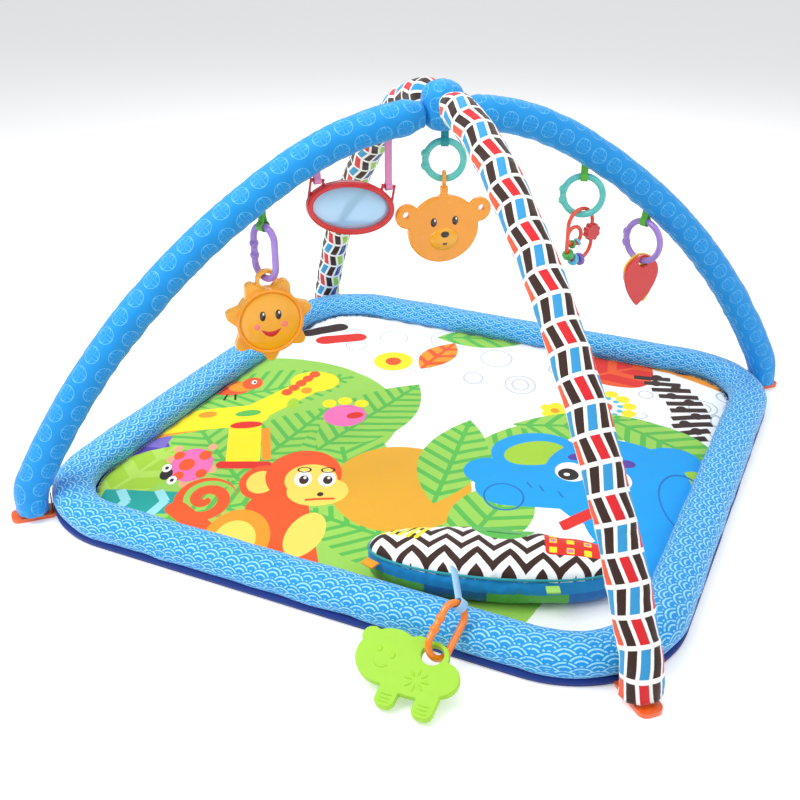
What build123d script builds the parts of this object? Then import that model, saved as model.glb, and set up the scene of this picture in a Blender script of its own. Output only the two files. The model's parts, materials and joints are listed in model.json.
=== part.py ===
from build123d import *
import math
import os

# Activity play gym: a padded square mat, two padded arches that cross over it,
# hanging toys, a small pillow and a silicone teether. Millimetres, +Z up.
# Origin: the middle of the mat, on the floor. +X runs along the front edge to the right.

# ---------------- driving dimensions ----------------
MAT_HALF = 390.0          # half the side of the mat over its padded rim
MAT_CORNER = 135.0        # outer corner radius of the mat
RIM_W = 52.0              # width of the stuffed rim
RIM_H = 36.0              # height of the stuffed rim
RIM_SKIN = 1.2            # rim cover cloth
BASE_T = 1.5              # base sheet
WADDING_T = 7.5           # quilted wadding
COVER_T = 1.5             # printed play cover

ARCH_SPAN = 519.0         # from the middle to each foot, along the mat's diagonal
BLUE_RISE = 441.0         # centre line of the blue arch at its crown
BRICK_RISE = 455.0        # centre line of the brick-print arch, which crosses over the blue one
SLEEVE_R = 20.5           # padded sleeve
FOAM_R = 17.0
ROD_R = 5.0
ROD_GAP = 0.3             # each rod stops this far from the crossing
FERRULE_R = 6.2
FERRULE_HALF = 22.0       # half the length of the tube that joins two rods
PLUG_R = 13.5             # plastic foot at the end of each rod
PLUG_TOP = 21.1
ROD_FOOT_Z = 14.0         # bottom end of each rod, in the foot's socket
LEG_UPRIGHT = 20.0        # upright end of each leg
LEG_BEND_R = 60.0
LEG_LEAN = 62.0           # degrees from the floor
CROWN_TURN = 30.0         # degrees of the crown arc on each side
CROSS_GAP = 26.0          # the sleeves stop this far from the crossing
CROSS_TAPER = 46.0        # and are pinched from here
CROSS_R = 13.0            # down to this radius

TAB_TOP = 5.0             # top of the plastic corner tab under each foot
FOOT_CLEAR = 0.3
RIDGE_W = 4.0
RIDGE_H = 4.0
RIDGE_LEN = 16.0
SLEEVE_FOOT_Z = 9.6       # bottom end of each sleeve

HALF_TURN = 180.0
MAT_TOP = BASE_T + WADDING_T + COVER_T
RIM_Z = BASE_T + RIM_H / 2
RIM_LINE = MAT_HALF - RIM_W / 2          # centre line of the rim
CORNER_C = MAT_HALF - MAT_CORNER         # centre of each corner's curve

os.makedirs("parts", exist_ok=True)


def save(shape, node):
    """Writes one sub-part."""
    export_step(shape, f"parts/{node}.step")


def group(solids):
    """Several separate solids as one sub-part."""
    return Compound(children=list(solids))


def rounded_plate(half, corner, low, thick):
    """A flat square plate with round corners."""
    return Pos(0, 0, low) * extrude(RectangleRounded(2 * half, 2 * half, corner), thick)


# ---------------- mat ----------------
def rim_solid(width, height, turns):
    """One side of the rim and the corner at its right-hand end, turned by quarter turns."""
    run = 2 * CORNER_C
    section = Plane.YZ.offset(-run / 2) * Pos(-RIM_LINE, RIM_Z) * Ellipse(width / 2, height / 2)
    side = extrude(section, run)
    bend_section = Plane.YZ.offset(run / 2) * Pos(-RIM_LINE, RIM_Z) * Ellipse(width / 2, height / 2)
    bend = revolve(bend_section, Axis((CORNER_C, -CORNER_C, 0), (0, 0, 1)), 90)
    return Rot(0, 0, 90 * turns) * (side + bend)


def make_mat():
    save(rounded_plate(MAT_HALF, MAT_CORNER, 0, BASE_T), "base_sheet")
    inner_half = MAT_HALF - RIM_W / 2
    inner_corner = MAT_CORNER - RIM_W / 2
    covers = [rim_solid(RIM_W, RIM_H, k) for k in range(4)]
    ring = covers[0] + covers[1] + covers[2] + covers[3]
    wadding = rounded_plate(inner_half, inner_corner, BASE_T, WADDING_T) - ring
    cover = rounded_plate(inner_half, inner_corner, BASE_T + WADDING_T, COVER_T) - ring
    save(wadding.solids().sort_by(SortBy.VOLUME)[-1], "mat_wadding")
    save(cover.solids().sort_by(SortBy.VOLUME)[-1], "play_cover")
    fill = [rim_solid(RIM_W - 2 * RIM_SKIN, RIM_H - 2 * RIM_SKIN, k) for k in range(4)]
    for name, cover_part, fill_part in zip(("front", "right", "rear", "left"), covers, fill):
        save(cover_part - fill_part, f"rim_{name}")
    save(fill[0] + fill[1] + fill[2] + fill[3], "rim_wadding")


def at_corner(shape, turns):
    """Moves a shape made on the +X axis to one of the mat's corners."""
    return Rot(0, 0, -45 + 90 * turns) * shape


def make_corners():
    """The plastic tab under each arch foot, with its ridge, and the webbing tie beside it."""
    rim_corner = CORNER_C * math.sqrt(2) + MAT_CORNER
    tab_in, tab_out, tab_w = 487.0, ARCH_SPAN + 26, 26.0
    tab_corner = 9.0
    tie_w, tie_t, tie_top = 14.0, 1.2, 24.0
    beyond_base = rim_corner + 1
    over = Pos((tab_in + tab_out) / 2, 0, (BASE_T + TAB_TOP) / 2) * Box(
        tab_out - tab_in, tab_w, TAB_TOP - BASE_T)
    under = Pos((beyond_base + tab_out) / 2, 0, BASE_T / 2) * Box(
        tab_out - beyond_base, tab_w, BASE_T)
    tab = over + under
    tab = fillet(tab.edges().filter_by(Axis.Z).sort_by(Axis.X)[-2:], tab_corner)
    ridge = Pos(ARCH_SPAN, 0, TAB_TOP + RIDGE_H / 2) * Box(RIDGE_W, RIDGE_LEN, RIDGE_H)
    tab = tab + ridge
    tie = Pos(beyond_base + tie_t / 2, 0, (TAB_TOP + tie_top) / 2) * Box(
        tie_t, tie_w, tie_top - TAB_TOP)
    save(group(at_corner(tab, k) for k in range(4)), "corner_tabs")
    save(group(at_corner(tie, k) for k in range(4)), "corner_ties")


# ---------------- arches ----------------
def arch_radii(rise):
    """Radii of the crown arc and the shoulder arc that join the crown to the leg."""
    turn = math.radians(CROWN_TURN)
    lean = math.radians(LEG_LEAN)
    run = ARCH_SPAN - LEG_BEND_R * (1 - math.sin(lean))
    drop = rise - LEG_UPRIGHT - LEG_BEND_R * math.cos(lean)
    a, b = math.sin(turn), math.sin(lean) - math.sin(turn)
    c, d = 1 - math.cos(turn), math.cos(turn) - math.cos(lean)
    det = a * d - b * c
    return (run * d - b * drop) / det, (a * drop - c * run) / det


def arch_point(rise, angle):
    """Point of the half arch on +X where its slope is that many degrees down."""
    crown, shoulder = arch_radii(rise)
    t = math.radians(angle)
    turn = math.radians(CROWN_TURN)
    lean = math.radians(LEG_LEAN)
    if angle <= CROWN_TURN:
        return Vector(crown * math.sin(t), 0, rise - crown * (1 - math.cos(t)))
    x = crown * math.sin(turn)
    z = rise - crown * (1 - math.cos(turn))
    if angle <= LEG_LEAN:
        return Vector(x + shoulder * (math.sin(t) - math.sin(turn)), 0,
                      z - shoulder * (math.cos(turn) - math.cos(t)))
    x += shoulder * (math.sin(lean) - math.sin(turn))
    z -= shoulder * (math.cos(turn) - math.cos(lean))
    return Vector(x + LEG_BEND_R * (math.sin(t) - math.sin(lean)), 0,
                  z - LEG_BEND_R * (math.cos(lean) - math.cos(t)))


def crown_angle(rise, x):
    """Slope of the crown arc at a distance from the crossing."""
    return math.degrees(math.asin(x / arch_radii(rise)[0]))


def arch_wire(rise, start_x, foot_z):
    """Centre line of the half arch on +X, from start_x down to the foot."""
    first = crown_angle(rise, start_x)
    stops = [first, CROWN_TURN, LEG_LEAN, 90.0]
    edges = []
    for a, b in zip(stops, stops[1:]):
        p, m, q = (arch_point(rise, t) for t in (a, (a + b) / 2, b))
        edges.append(ThreePointArc(p, m, q))
    edges.append(Line(edges[-1] @ 1, (ARCH_SPAN, 0, foot_z)))
    return Wire(edges)


def tube_along(path, radius):
    section = Plane(origin=path @ 0, z_dir=path % 0) * Circle(radius)
    return sweep(section, path=path)


def half_arch(rise):
    """Rod, foam and sleeve of the half arch on +X."""
    rod = tube_along(arch_wire(rise, ROD_GAP, ROD_FOOT_Z), ROD_R)
    foam_path = arch_wire(rise, CROSS_TAPER, SLEEVE_FOOT_Z + 12)
    foam = tube_along(foam_path, FOAM_R) - tube_along(foam_path, ROD_R)
    path = arch_wire(rise, CROSS_TAPER, SLEEVE_FOOT_Z)
    sleeve = tube_along(path, SLEEVE_R) - tube_along(path, FOAM_R)
    cone = Solid.make_cone(SLEEVE_R, CROSS_R, CROSS_TAPER - CROSS_GAP,
                           Plane(origin=path @ 0, z_dir=-(path % 0)))
    pinch = cone - tube_along(arch_wire(rise, ROD_GAP, ROD_FOOT_Z), FERRULE_R + 0.2)
    return rod, foam, sleeve + pinch


def foot_plug():
    """The plastic end of a rod, with a groove that sits over the corner tab's ridge."""
    low = TAB_TOP + FOOT_CLEAR
    play = 0.8
    plug = Pos(ARCH_SPAN, 0, (low + PLUG_TOP) / 2) * Cylinder(PLUG_R, PLUG_TOP - low)
    groove = Pos(ARCH_SPAN, 0, low + RIDGE_H / 2) * Box(RIDGE_W + play, 3 * PLUG_R, RIDGE_H + play)
    socket = Pos(ARCH_SPAN, 0, ROD_FOOT_Z + PLUG_TOP) * Cylinder(ROD_R, 2 * PLUG_TOP)
    return plug - groove - socket


def make_arch(name, rise, heading):
    turn = Rot(0, 0, heading)
    mirror_x = Rot(0, 0, HALF_TURN)
    halves = (mirror_x, Rot(0, 0, 0))
    rod, foam, sleeve = half_arch(rise)
    plug = foot_plug()
    crown = Pos(0, 0, rise) * Rot(0, 90, 0) * Cylinder(FERRULE_R, 2 * FERRULE_HALF)
    bore = Pos(0, 0, rise) * Rot(0, 90, 0) * Cylinder(ROD_R + 0.05, 3 * FERRULE_HALF)
    ferrule = crown - bore - rod - mirror_x * rod
    save(group(turn * half * rod for half in halves), f"{name}_rods")
    save(turn * ferrule, f"{name}_ferrule")
    save(group(turn * half * foam for half in halves), f"{name}_foam")
    save(turn * (mirror_x * sleeve), f"{name}_sleeve_left")
    save(turn * sleeve, f"{name}_sleeve_right")
    save(group(turn * half * plug for half in halves), f"{name}_feet")


BLUE_HEADING = 45.0       # left-front corner to right-rear corner
BRICK_HEADING = -45.0     # left-rear corner to right-front corner


def in_blue_plane(shape):
    """Turns a shape made in the XZ plane into the plane of the blue arch."""
    return Rot(0, 0, BLUE_HEADING) * shape


def blue_outer():
    """Everything inside the outside of the blue arch's sleeves, to trim straps against."""
    path = arch_wire(BLUE_RISE, CROSS_TAPER, SLEEVE_FOOT_Z)
    half = tube_along(path, SLEEVE_R)
    return half + Rot(0, 0, HALF_TURN) * half


WRAP_R = 24.0             # inside the gap that the sleeves leave at the crossing
WRAP_LOW, WRAP_TOP = 419.0, 479.0


def make_wrap():
    """The cloth wrap that holds both arches together at the crossing."""
    wrap = Pos(0, 0, (WRAP_LOW + WRAP_TOP) / 2) * Cylinder(WRAP_R, WRAP_TOP - WRAP_LOW)
    wrap = fillet(wrap.edges().filter_by(GeomType.CIRCLE), WRAP_R / 2)
    for rise, heading, clear in ((BLUE_RISE, BLUE_HEADING, 1.6), (BRICK_RISE, BRICK_HEADING, 2.2)):
        tunnel = Pos(0, 0, rise) * Rot(0, 0, heading) * Rot(0, 90, 0) * Cylinder(
            FERRULE_R + clear, 3 * WRAP_R)
        wrap = wrap - tunnel
    save(wrap, "apex_wrap")


# ---------------- straps and links ----------------
STRAP_T = 1.2
STRAP_W = 9.0
SEWN_GAP = 0.4            # between a strap's two layers and its eye


def strap(x, z, heading, bore_r, width, top):
    """A webbing loop: a round eye at (x, z) and a doubled tail up to height top."""
    eye = Rot(0, 90, 0) * (Cylinder(bore_r + STRAP_T, width) - Cylinder(bore_r, 2 * width))
    foot = bore_r + SEWN_GAP
    tail_len = top - z - foot
    tail = Pos(0, 0, foot + tail_len / 2) * Box(width, 2 * STRAP_T, tail_len)
    return Pos(x, 0, z) * Rot(0, 0, heading) * (eye + tail)


def oval_wire(half_w, half_h):
    """An upright oval in the XZ plane: two straight sides and two half rounds."""
    run = half_h - half_w
    return Wire([
        Line((half_w, 0, -run), (half_w, 0, run)),
        ThreePointArc((half_w, 0, run), (0, 0, half_h), (-half_w, 0, run)),
        Line((-half_w, 0, run), (-half_w, 0, -run)),
        ThreePointArc((-half_w, 0, -run), (0, 0, -half_h), (half_w, 0, -run)),
    ])


KNOB_RATIO = 1.35         # the snap joint's two knobs against the ring's section


def link(half_w, half_h, section):
    """A snap link in the XZ plane, centred at the origin, with its snap joint on the -X side."""
    if half_h > half_w:
        ring = tube_along(oval_wire(half_w, half_h), section)
    else:
        ring = Rot(90, 0, 0) * Torus(half_w, section)
    for side in (-1, 1):
        ring = ring + Pos(-half_w, 0, side * 1.7 * section) * Sphere(section * KNOB_RATIO)
    return ring


# Hanging links: place and size of each ring, its heading, and how high its strap runs.
# x and z lie in the blue arch's plane, and z is the ring's centre.
LINKS = {
    "sun": dict(x=-219.0, z=296.0, half_w=17.8, half_h=31.8, heading=-61.0, top=372.0),
    "rattle": dict(x=194.0, z=323.0, half_w=24.8, half_h=24.8, heading=-30.0, top=389.0),
    "leaf": dict(x=290.0, z=252.0, half_w=26.8, half_h=26.8, heading=-68.0, top=316.0),
    "centre": dict(x=4.0, z=385.0, half_w=22.6, half_h=22.6, heading=-20.0, top=WRAP_LOW - 0.3),
}
LINK_SECTION = 4.2
TOY_HOLE_DROP = 2.0       # a toy's hole sits this far below the link's lowest centre line


def link_low(name):
    """Height of the centre line at the bottom of a ring, where its toy hangs."""
    return LINKS[name]["z"] - LINKS[name]["half_h"]


def make_links():
    for name, at in LINKS.items():
        ring = Rot(0, 0, at["heading"]) * link(at["half_w"], at["half_h"], LINK_SECTION)
        save(in_blue_plane(Pos(at["x"], 0, at["z"]) * ring), f"link_{name}")
        loop = strap(at["x"], at["z"] + at["half_h"], at["heading"], LINK_SECTION + 1.2, STRAP_W,
                     at["top"])
        loop = (loop - BLUE_OUTER).solids().sort_by(SortBy.VOLUME)[-1]
        save(in_blue_plane(loop), f"strap_{name}")


# ---------------- toys ----------------
def star_face(tips, tip_r, dip_r, first):
    points = []
    for k in range(2 * tips):
        r = tip_r if k % 2 == 0 else dip_r
        t = math.radians(first + k * HALF_TURN / tips)
        points.append((r * math.cos(t), r * math.sin(t)))
    face = make_face(Polyline(points, close=True))
    tip_v = [v for v in face.vertices() if math.hypot(v.X, v.Y) > (tip_r + dip_r) / 2]
    return fillet(tip_v, 7)


SUN = dict(x=LINKS["sun"]["x"], z=213.0, disc_r=40.0, tip_r=60.0, rays=7, half_t=10.0,
           chamber_r=30.0, wall=2.5, hole_r=9.0, lug_r=13.5, lug_t=4.0)


def make_sun():
    """Two yellow shells joined by screws, with loose balls sealed inside."""
    hole_z = link_low("sun") - TOY_HOLE_DROP - SUN["z"]
    disc_r, t, lug_t = SUN["disc_r"], SUN["half_t"], SUN["lug_t"]
    up = (Align.CENTER, Align.CENTER, Align.MIN)
    body = Cylinder(disc_r, t, align=up)
    body = fillet(body.edges().filter_by(GeomType.CIRCLE).sort_by(Axis.Z)[-1:], 3)
    body = body + extrude(star_face(SUN["rays"], SUN["tip_r"], disc_r - 4, -90), t - 4)
    lug = Pos(0, hole_z, 0) * Cylinder(SUN["lug_r"], lug_t, align=up)
    neck = Pos(0, (hole_z + disc_r) / 2 - 4, lug_t / 2) * Box(18, hole_z - disc_r + 8, lug_t)
    body = body + lug + neck
    body = body - Pos(0, hole_z, 0) * Cylinder(SUN["hole_r"], 3 * t)
    body = body - Cylinder(SUN["chamber_r"], 2 * (t - SUN["wall"]))
    front = Rot(90, 0, 0) * body
    back = mirror(front, Plane.XZ)
    screw_circle = (disc_r + SUN["chamber_r"]) / 2 - 0.5
    screws = []
    for k in range(3):
        a = math.radians(90 + 120 * k)
        place = Pos(screw_circle * math.cos(a), 0, screw_circle * math.sin(a))
        shank = Pos(0, 2, 0) * Rot(90, 0, 0) * Cylinder(1.2, 12)
        head = Pos(0, t - 1, 0) * Rot(90, 0, 0) * Cylinder(2.6, 2)
        screws.append(place * (shank + head))
    for screw in screws:
        front = front - screw
        back = back - screw
    ball_r = 3.0
    floor = ball_r + 4 - SUN["chamber_r"]
    balls = [Pos(8 * k, 0, floor + 1.2 * abs(k) ** 1.6) * Sphere(ball_r) for k in range(-2, 3)]
    place = Pos(SUN["x"], 0, SUN["z"])
    save(in_blue_plane(place * front), "sun_front_shell")
    save(in_blue_plane(place * back), "sun_back_shell")
    save(group(in_blue_plane(place * screw) for screw in screws), "sun_screws")
    save(group(in_blue_plane(place * ball) for ball in balls), "sun_rattle_balls")


MIRROR = dict(x=-114.0, z=339.0, a=54.0, b=32.0, tilt=10.0, lug_x=44.0, lug_z=28.0,
              rim_w=7.0, front_t=7.0, back_t=4.0, bar_r=2.0)

def mirror_bar(side):
    """Centre of one of the bars that the mirror's straps go round, in the blue plane."""
    t = math.radians(MIRROR["tilt"])
    lx, lz = side * MIRROR["lug_x"], MIRROR["lug_z"]
    return (MIRROR["x"] + lx * math.cos(t) + lz * math.sin(t),
            MIRROR["z"] - lx * math.sin(t) + lz * math.cos(t))


def make_mirror():
    a, b, back_t = MIRROR["a"], MIRROR["b"], MIRROR["back_t"]
    lip = MIRROR["rim_w"] - 3
    seat = 2.0
    frame = extrude(Ellipse(a, b), MIRROR["front_t"])
    frame = fillet(frame.edges().sort_by(Axis.Z)[-1:], 2.5)
    frame = frame - extrude(Ellipse(a - MIRROR["rim_w"], b - MIRROR["rim_w"]), 2 * MIRROR["front_t"])
    frame = frame - extrude(Ellipse(a - lip, b - lip), seat)
    sheet = extrude(Ellipse(a - lip - 0.1, b - lip - 0.1), seat - 0.1)
    back = Pos(0, 0, -back_t) * extrude(Ellipse(a, b), back_t)
    back = fillet(back.edges().sort_by(Axis.Z)[:1], 1.5)
    cheek_gap, cheek_h, cheek_t = 15.0, 22.0, 2.4
    for side in (-1, 1):
        for end in (-1, 1):
            cheek = Pos(side * MIRROR["lug_x"] + end * cheek_gap / 2,
                        MIRROR["lug_z"] + 2.5 - cheek_h / 2, -back_t / 2) * Box(cheek_t, cheek_h, back_t)
            back = back + cheek
        bar = Pos(side * MIRROR["lug_x"], MIRROR["lug_z"], -back_t / 2) * Rot(0, 90, 0) * Cylinder(
            MIRROR["bar_r"], cheek_gap + cheek_t)
        back = back + bar
    place = Pos(MIRROR["x"], 0, MIRROR["z"]) * Rot(0, MIRROR["tilt"], 0) * Rot(90, 0, 0)
    for shape, node in ((frame, "mirror_frame"), (sheet, "mirror_sheet"), (back, "mirror_back")):
        save(in_blue_plane(place * shape), node)
    for side, node, top in ((-1, "strap_mirror_left", 400), (1, "strap_mirror_right", 431)):
        x, z = mirror_bar(side)
        loop = Pos(0, back_t / 2, 0) * strap(x, z, 0, MIRROR["bar_r"] + 1.4, 8, top)
        loop = (loop - BLUE_OUTER).solids().sort_by(SortBy.VOLUME)[-1]
        save(in_blue_plane(loop), node)


def flat_blob(parts, thick, edge):
    """Fused flat outlines, extruded about Y = 0, with softened edges."""
    face = parts[0]
    for p in parts[1:]:
        face = face + p
    body = extrude(face, thick / 2, both=True)
    if edge:
        body = chamfer(body.edges().filter_by(lambda e: abs(e.center().Z) > thick / 2 - 0.01), edge)
    return Rot(90, 0, 0) * body


def make_cub():
    """Flat cub's-head rattle plate with round ears, and its moulded eye on top."""
    drop = 62.0
    ear_x, ear_z = 47.0, 20.0
    head = Ellipse(46, 42)
    ears = [Pos(side * ear_x, ear_z) * Circle(15) for side in (-1, 1)]
    plate = flat_blob([head, *ears], 8, 1.2)
    for side in (-1, 1):
        plate = plate - Pos(side * (ear_x + 2), 0, ear_z + 2) * Rot(90, 0, 0) * Cylinder(4, 20)
    neck = Pos(0, 0, 45) * Box(9, 6, 16)
    eye = Rot(0, 0, LINKS["centre"]["heading"]) * Rot(0, 90, 0) * Torus(8, 2.6)
    whole = Pos(0, 0, -drop) * (plate + neck) + eye
    save(in_blue_plane(Pos(LINKS["centre"]["x"], 0, link_low("centre")) * whole), "cub_rattle")


def leaf_outline(length, width):
    """A leaf with its point down, its stalk end round."""
    top = (0, 10)
    tip = (0, -length)
    right = Spline([top, (width / 2, -14), (width * 0.38, -0.62 * length), tip])
    left = Spline([tip, (-width * 0.38, -0.62 * length), (-width / 2, -14), top])
    return make_face(Wire([right, left]))


LEAF = dict(length=62.0, width=50.0, thick=4.0, hole_r=7.2, spread=3.6)


def make_leaves():
    """Two flat leaves, one behind the other, that hang on the same ring."""
    run = math.radians(LINKS["leaf"]["heading"])
    for node, side, turn in (("leaf_red", -1, 4.0), ("leaf_yellow", 1, -13.0)):
        y = side * LEAF["spread"]
        body = extrude(leaf_outline(LEAF["length"], LEAF["width"]), LEAF["thick"] / 2, both=True)
        body = Rot(0, turn, 0) * Rot(90, 0, 0) * body
        body = body - Rot(90, 0, 0) * Cylinder(LEAF["hole_r"], 5 * LEAF["thick"])
        at = Pos(LINKS["leaf"]["x"] + y / math.tan(run), y, link_low("leaf") - 1)
        save(in_blue_plane(at * body), node)


RATTLE = dict(half_w=21.0, half_h=34.0, section=2.6, heading=15.0, curl_r=11.5, hang=7.6)
# node, place along the loop's lower round in degrees, width, radius
LOOP_BEADS = (("bead_green", 212, 8.0, 7.6), ("bead_sky", 247, 6.5, 8.0), ("bead_purple", 277, 6.0, 8.5))
# node, place along the inner curl in degrees
CURL_RINGS = (("curl_ring_green", 258), ("curl_ring_sky", 303))


def make_rattle():
    """A bent-wire rattle: an outer loop, an inner curl, and beads that turn on them."""
    w, h, s = RATTLE["half_w"], RATTLE["half_h"], RATTLE["section"]
    run = h - w
    curl_r = RATTLE["curl_r"]
    curl_x = curl_r - w
    loop = tube_along(oval_wire(w, h), s)
    curl = Pos(curl_x, 0, 0) * Rot(90, 0, 0) * Torus(curl_r, s)
    place = Pos(LINKS["rattle"]["x"], 0, rattle_mid()) * Rot(0, 0, RATTLE["heading"])
    save(in_blue_plane(place * (loop + curl)), "rattle_wire")
    beads = []
    for node, angle, width, radius in LOOP_BEADS:
        t = math.radians(angle)
        bead = Cylinder(radius, width)
        bead = fillet(bead.edges().filter_by(GeomType.CIRCLE), 1.8) - Cylinder(s + 0.55, 2 * width)
        at = Pos(w * math.cos(t), 0, w * math.sin(t) - run)
        beads.append((node, at * Rot(0, -angle, 0) * bead))
    for node, angle in CURL_RINGS:
        t = math.radians(angle)
        ring = Cylinder(5.6, 3.4) - Cylinder(s + 0.5, 8)
        at = Pos(curl_x + curl_r * math.cos(t), 0, curl_r * math.sin(t))
        beads.append((node, at * Rot(0, -angle, 0) * ring))
    petals = [Circle(8.6)]
    for k in range(8):
        a = math.radians(45 * k + 22.5)
        petals.append(Pos(8.2 * math.cos(a), 8.2 * math.sin(a)) * Circle(3.6))
    flower = flat_blob(petals, 9, 0) - Cylinder(s + 0.4, 40)
    beads.append(("flower_bead", Pos(w, 0, 0) * flower))
    for node, shape in beads:
        save(in_blue_plane(place * shape), node)


def rattle_mid():
    """Height of the middle of the rattle's outer loop."""
    return link_low("rattle") + RATTLE["hang"] - RATTLE["half_h"]


# ---------------- pillow and teether ----------------
PILLOW = dict(x=184.0, y=-273.0, turn=18.0, half_l=140.0, half_w=46.5, height=50.0, skin=1.5,
              round=14.0)
PILLOW_LOW = MAT_TOP + FOOT_CLEAR


def pillow_solid(inset):
    height = PILLOW["height"] - 2 * inset
    body = extrude(Ellipse(PILLOW["half_l"] - inset, PILLOW["half_w"] - inset), height)
    body = fillet(body.edges(), PILLOW["round"] - inset)
    return (Pos(PILLOW["x"], PILLOW["y"], PILLOW_LOW + inset) * Rot(0, 0, PILLOW["turn"])
            * body)


LOOP_TOP = Vector(188, -378, 58)       # where the teether's link hangs in its strap
HOLE_AT = Vector(181, -426, 28)        # where the link goes through the teether
LINK_TURN = -56.0                      # the link's plane against the teether's plane
TEETHER_LINK = dict(half_w=13.4, section=3.6)
LOOP_BORE = 5.6
TEETHER_T = 7.0
TEETHER_HOLE_R = 11.0
TEETHER_SLOPE = 19.0                   # degrees that the teether leans over the rim


def link_axes():
    """Unit vectors of the orange link: along it, across it in its plane, and its plane's normal."""
    along = (HOLE_AT - LOOP_TOP).normalized()
    flat = Vector(1, 0, 0)
    side = (flat - along * flat.dot(along)).normalized()
    up = side.cross(along).normalized()
    if up.Z < 0:
        up = up * -1
    t = math.radians(LINK_TURN)
    across = side * math.cos(t) + up * math.sin(t)
    return along, across, across.cross(along)


def make_pillow():
    outer = pillow_solid(0)
    inner = pillow_solid(PILLOW["skin"])
    save(outer - inner, "pillow_cover")
    save(inner, "pillow_filling")
    tab_len, tab_t, tab_z = 14.0, 2.4, 8.0
    turned = Rot(0, 0, PILLOW["turn"])
    place = Pos(PILLOW["x"], PILLOW["y"], PILLOW_LOW + PILLOW["height"] / 2) * turned
    for node, angle, width in (("pillow_tab_orange", 206, 16.0), ("pillow_tab_lime", 296, 14.0)):
        t = math.radians(angle)
        x, y = PILLOW["half_l"] * math.cos(t), PILLOW["half_w"] * math.sin(t)
        out = math.degrees(math.atan2(PILLOW["half_l"] * math.sin(t), PILLOW["half_w"] * math.cos(t)))
        tab = Pos(x, y, tab_z) * Rot(0, 0, out) * Pos(tab_len / 2 - 3, 0, 0) * Box(tab_len, width, tab_t)
        save((place * tab - outer).solids().sort_by(SortBy.VOLUME)[-1], node)
    across, normal = link_axes()[1:]
    eye = Plane(origin=LOOP_TOP, x_dir=normal, z_dir=across) * (
        Cylinder(LOOP_BORE + STRAP_T, STRAP_W) - Cylinder(LOOP_BORE, 2 * STRAP_W))
    sewn = Vector(176, -326, 46)
    tail_dir = (sewn - LOOP_TOP - across * (sewn - LOOP_TOP).dot(across)).normalized()
    reach = (sewn - LOOP_TOP).length
    start = LOOP_BORE + SEWN_GAP
    tail_frame = Plane(origin=LOOP_TOP + tail_dir * ((start + reach) / 2), x_dir=tail_dir,
                       z_dir=tail_dir.cross(across))
    tail = tail_frame * Box(reach - start, STRAP_W, 2 * STRAP_T)
    loop = (eye + tail) - outer
    save(loop.solids().sort_by(SortBy.VOLUME)[-1], "pillow_loop")


def make_teether():
    along, across = link_axes()[:2]
    half_h = (HOLE_AT - LOOP_TOP).length / 2
    frame = Plane(origin=(LOOP_TOP + HOLE_AT) * 0.5, x_dir=across, z_dir=along * -1)
    save(frame * link(TEETHER_LINK["half_w"], half_h, TEETHER_LINK["section"]), "link_teether")

    # The animal seen from above, with its link hole at the origin: head, ears, back, rump, legs.
    outline = [
        Pos(-41, -14) * Ellipse(32, 30),
        Pos(-65, 2) * Circle(10),
        Pos(-17, 3) * Circle(13),
        Pos(-10, -28) * Ellipse(38, 20),
        Pos(17, -21) * Circle(18),
        Pos(0, -2) * Circle(17),
        Pos(-25, -49) * RectangleRounded(20, 32, 8),
        Pos(13, -49) * RectangleRounded(21, 32, 8),
    ]
    face = outline[0]
    for p in outline[1:]:
        face = face + p
    plate = extrude(face, TEETHER_T / 2, both=True) - Cylinder(TEETHER_HOLE_R, 3 * TEETHER_T)
    slope = math.radians(TEETHER_SLOPE)
    lie = Plane(origin=HOLE_AT, x_dir=(1, 0, 0), z_dir=(0, -math.sin(slope), math.cos(slope)))
    save(lie * plate, "teether")


make_mat()
make_corners()
make_arch("blue", BLUE_RISE, BLUE_HEADING)
make_arch("brick", BRICK_RISE, BRICK_HEADING)
make_wrap()
BLUE_OUTER = blue_outer()
make_links()
make_sun()
make_mirror()
make_rattle()
make_leaves()
make_cub()
make_pillow()
make_teether()
print("arch radii", [round(r, 1) for r in arch_radii(BLUE_RISE)])
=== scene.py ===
# %% [markdown]
# An activity play gym in Blender: a padded square mat, two padded arches that cross over it,
# toys that hang from snap rings, a small pillow and a silicone teether. The frame of the
# object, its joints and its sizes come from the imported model, and every piece here is built
# around them and rides on one of its bodies. All lengths are metres.

# %% Load the frame
import bpy
import bmesh
import json
import math
import numpy as np
from mathutils import Matrix, Vector, noise


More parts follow.
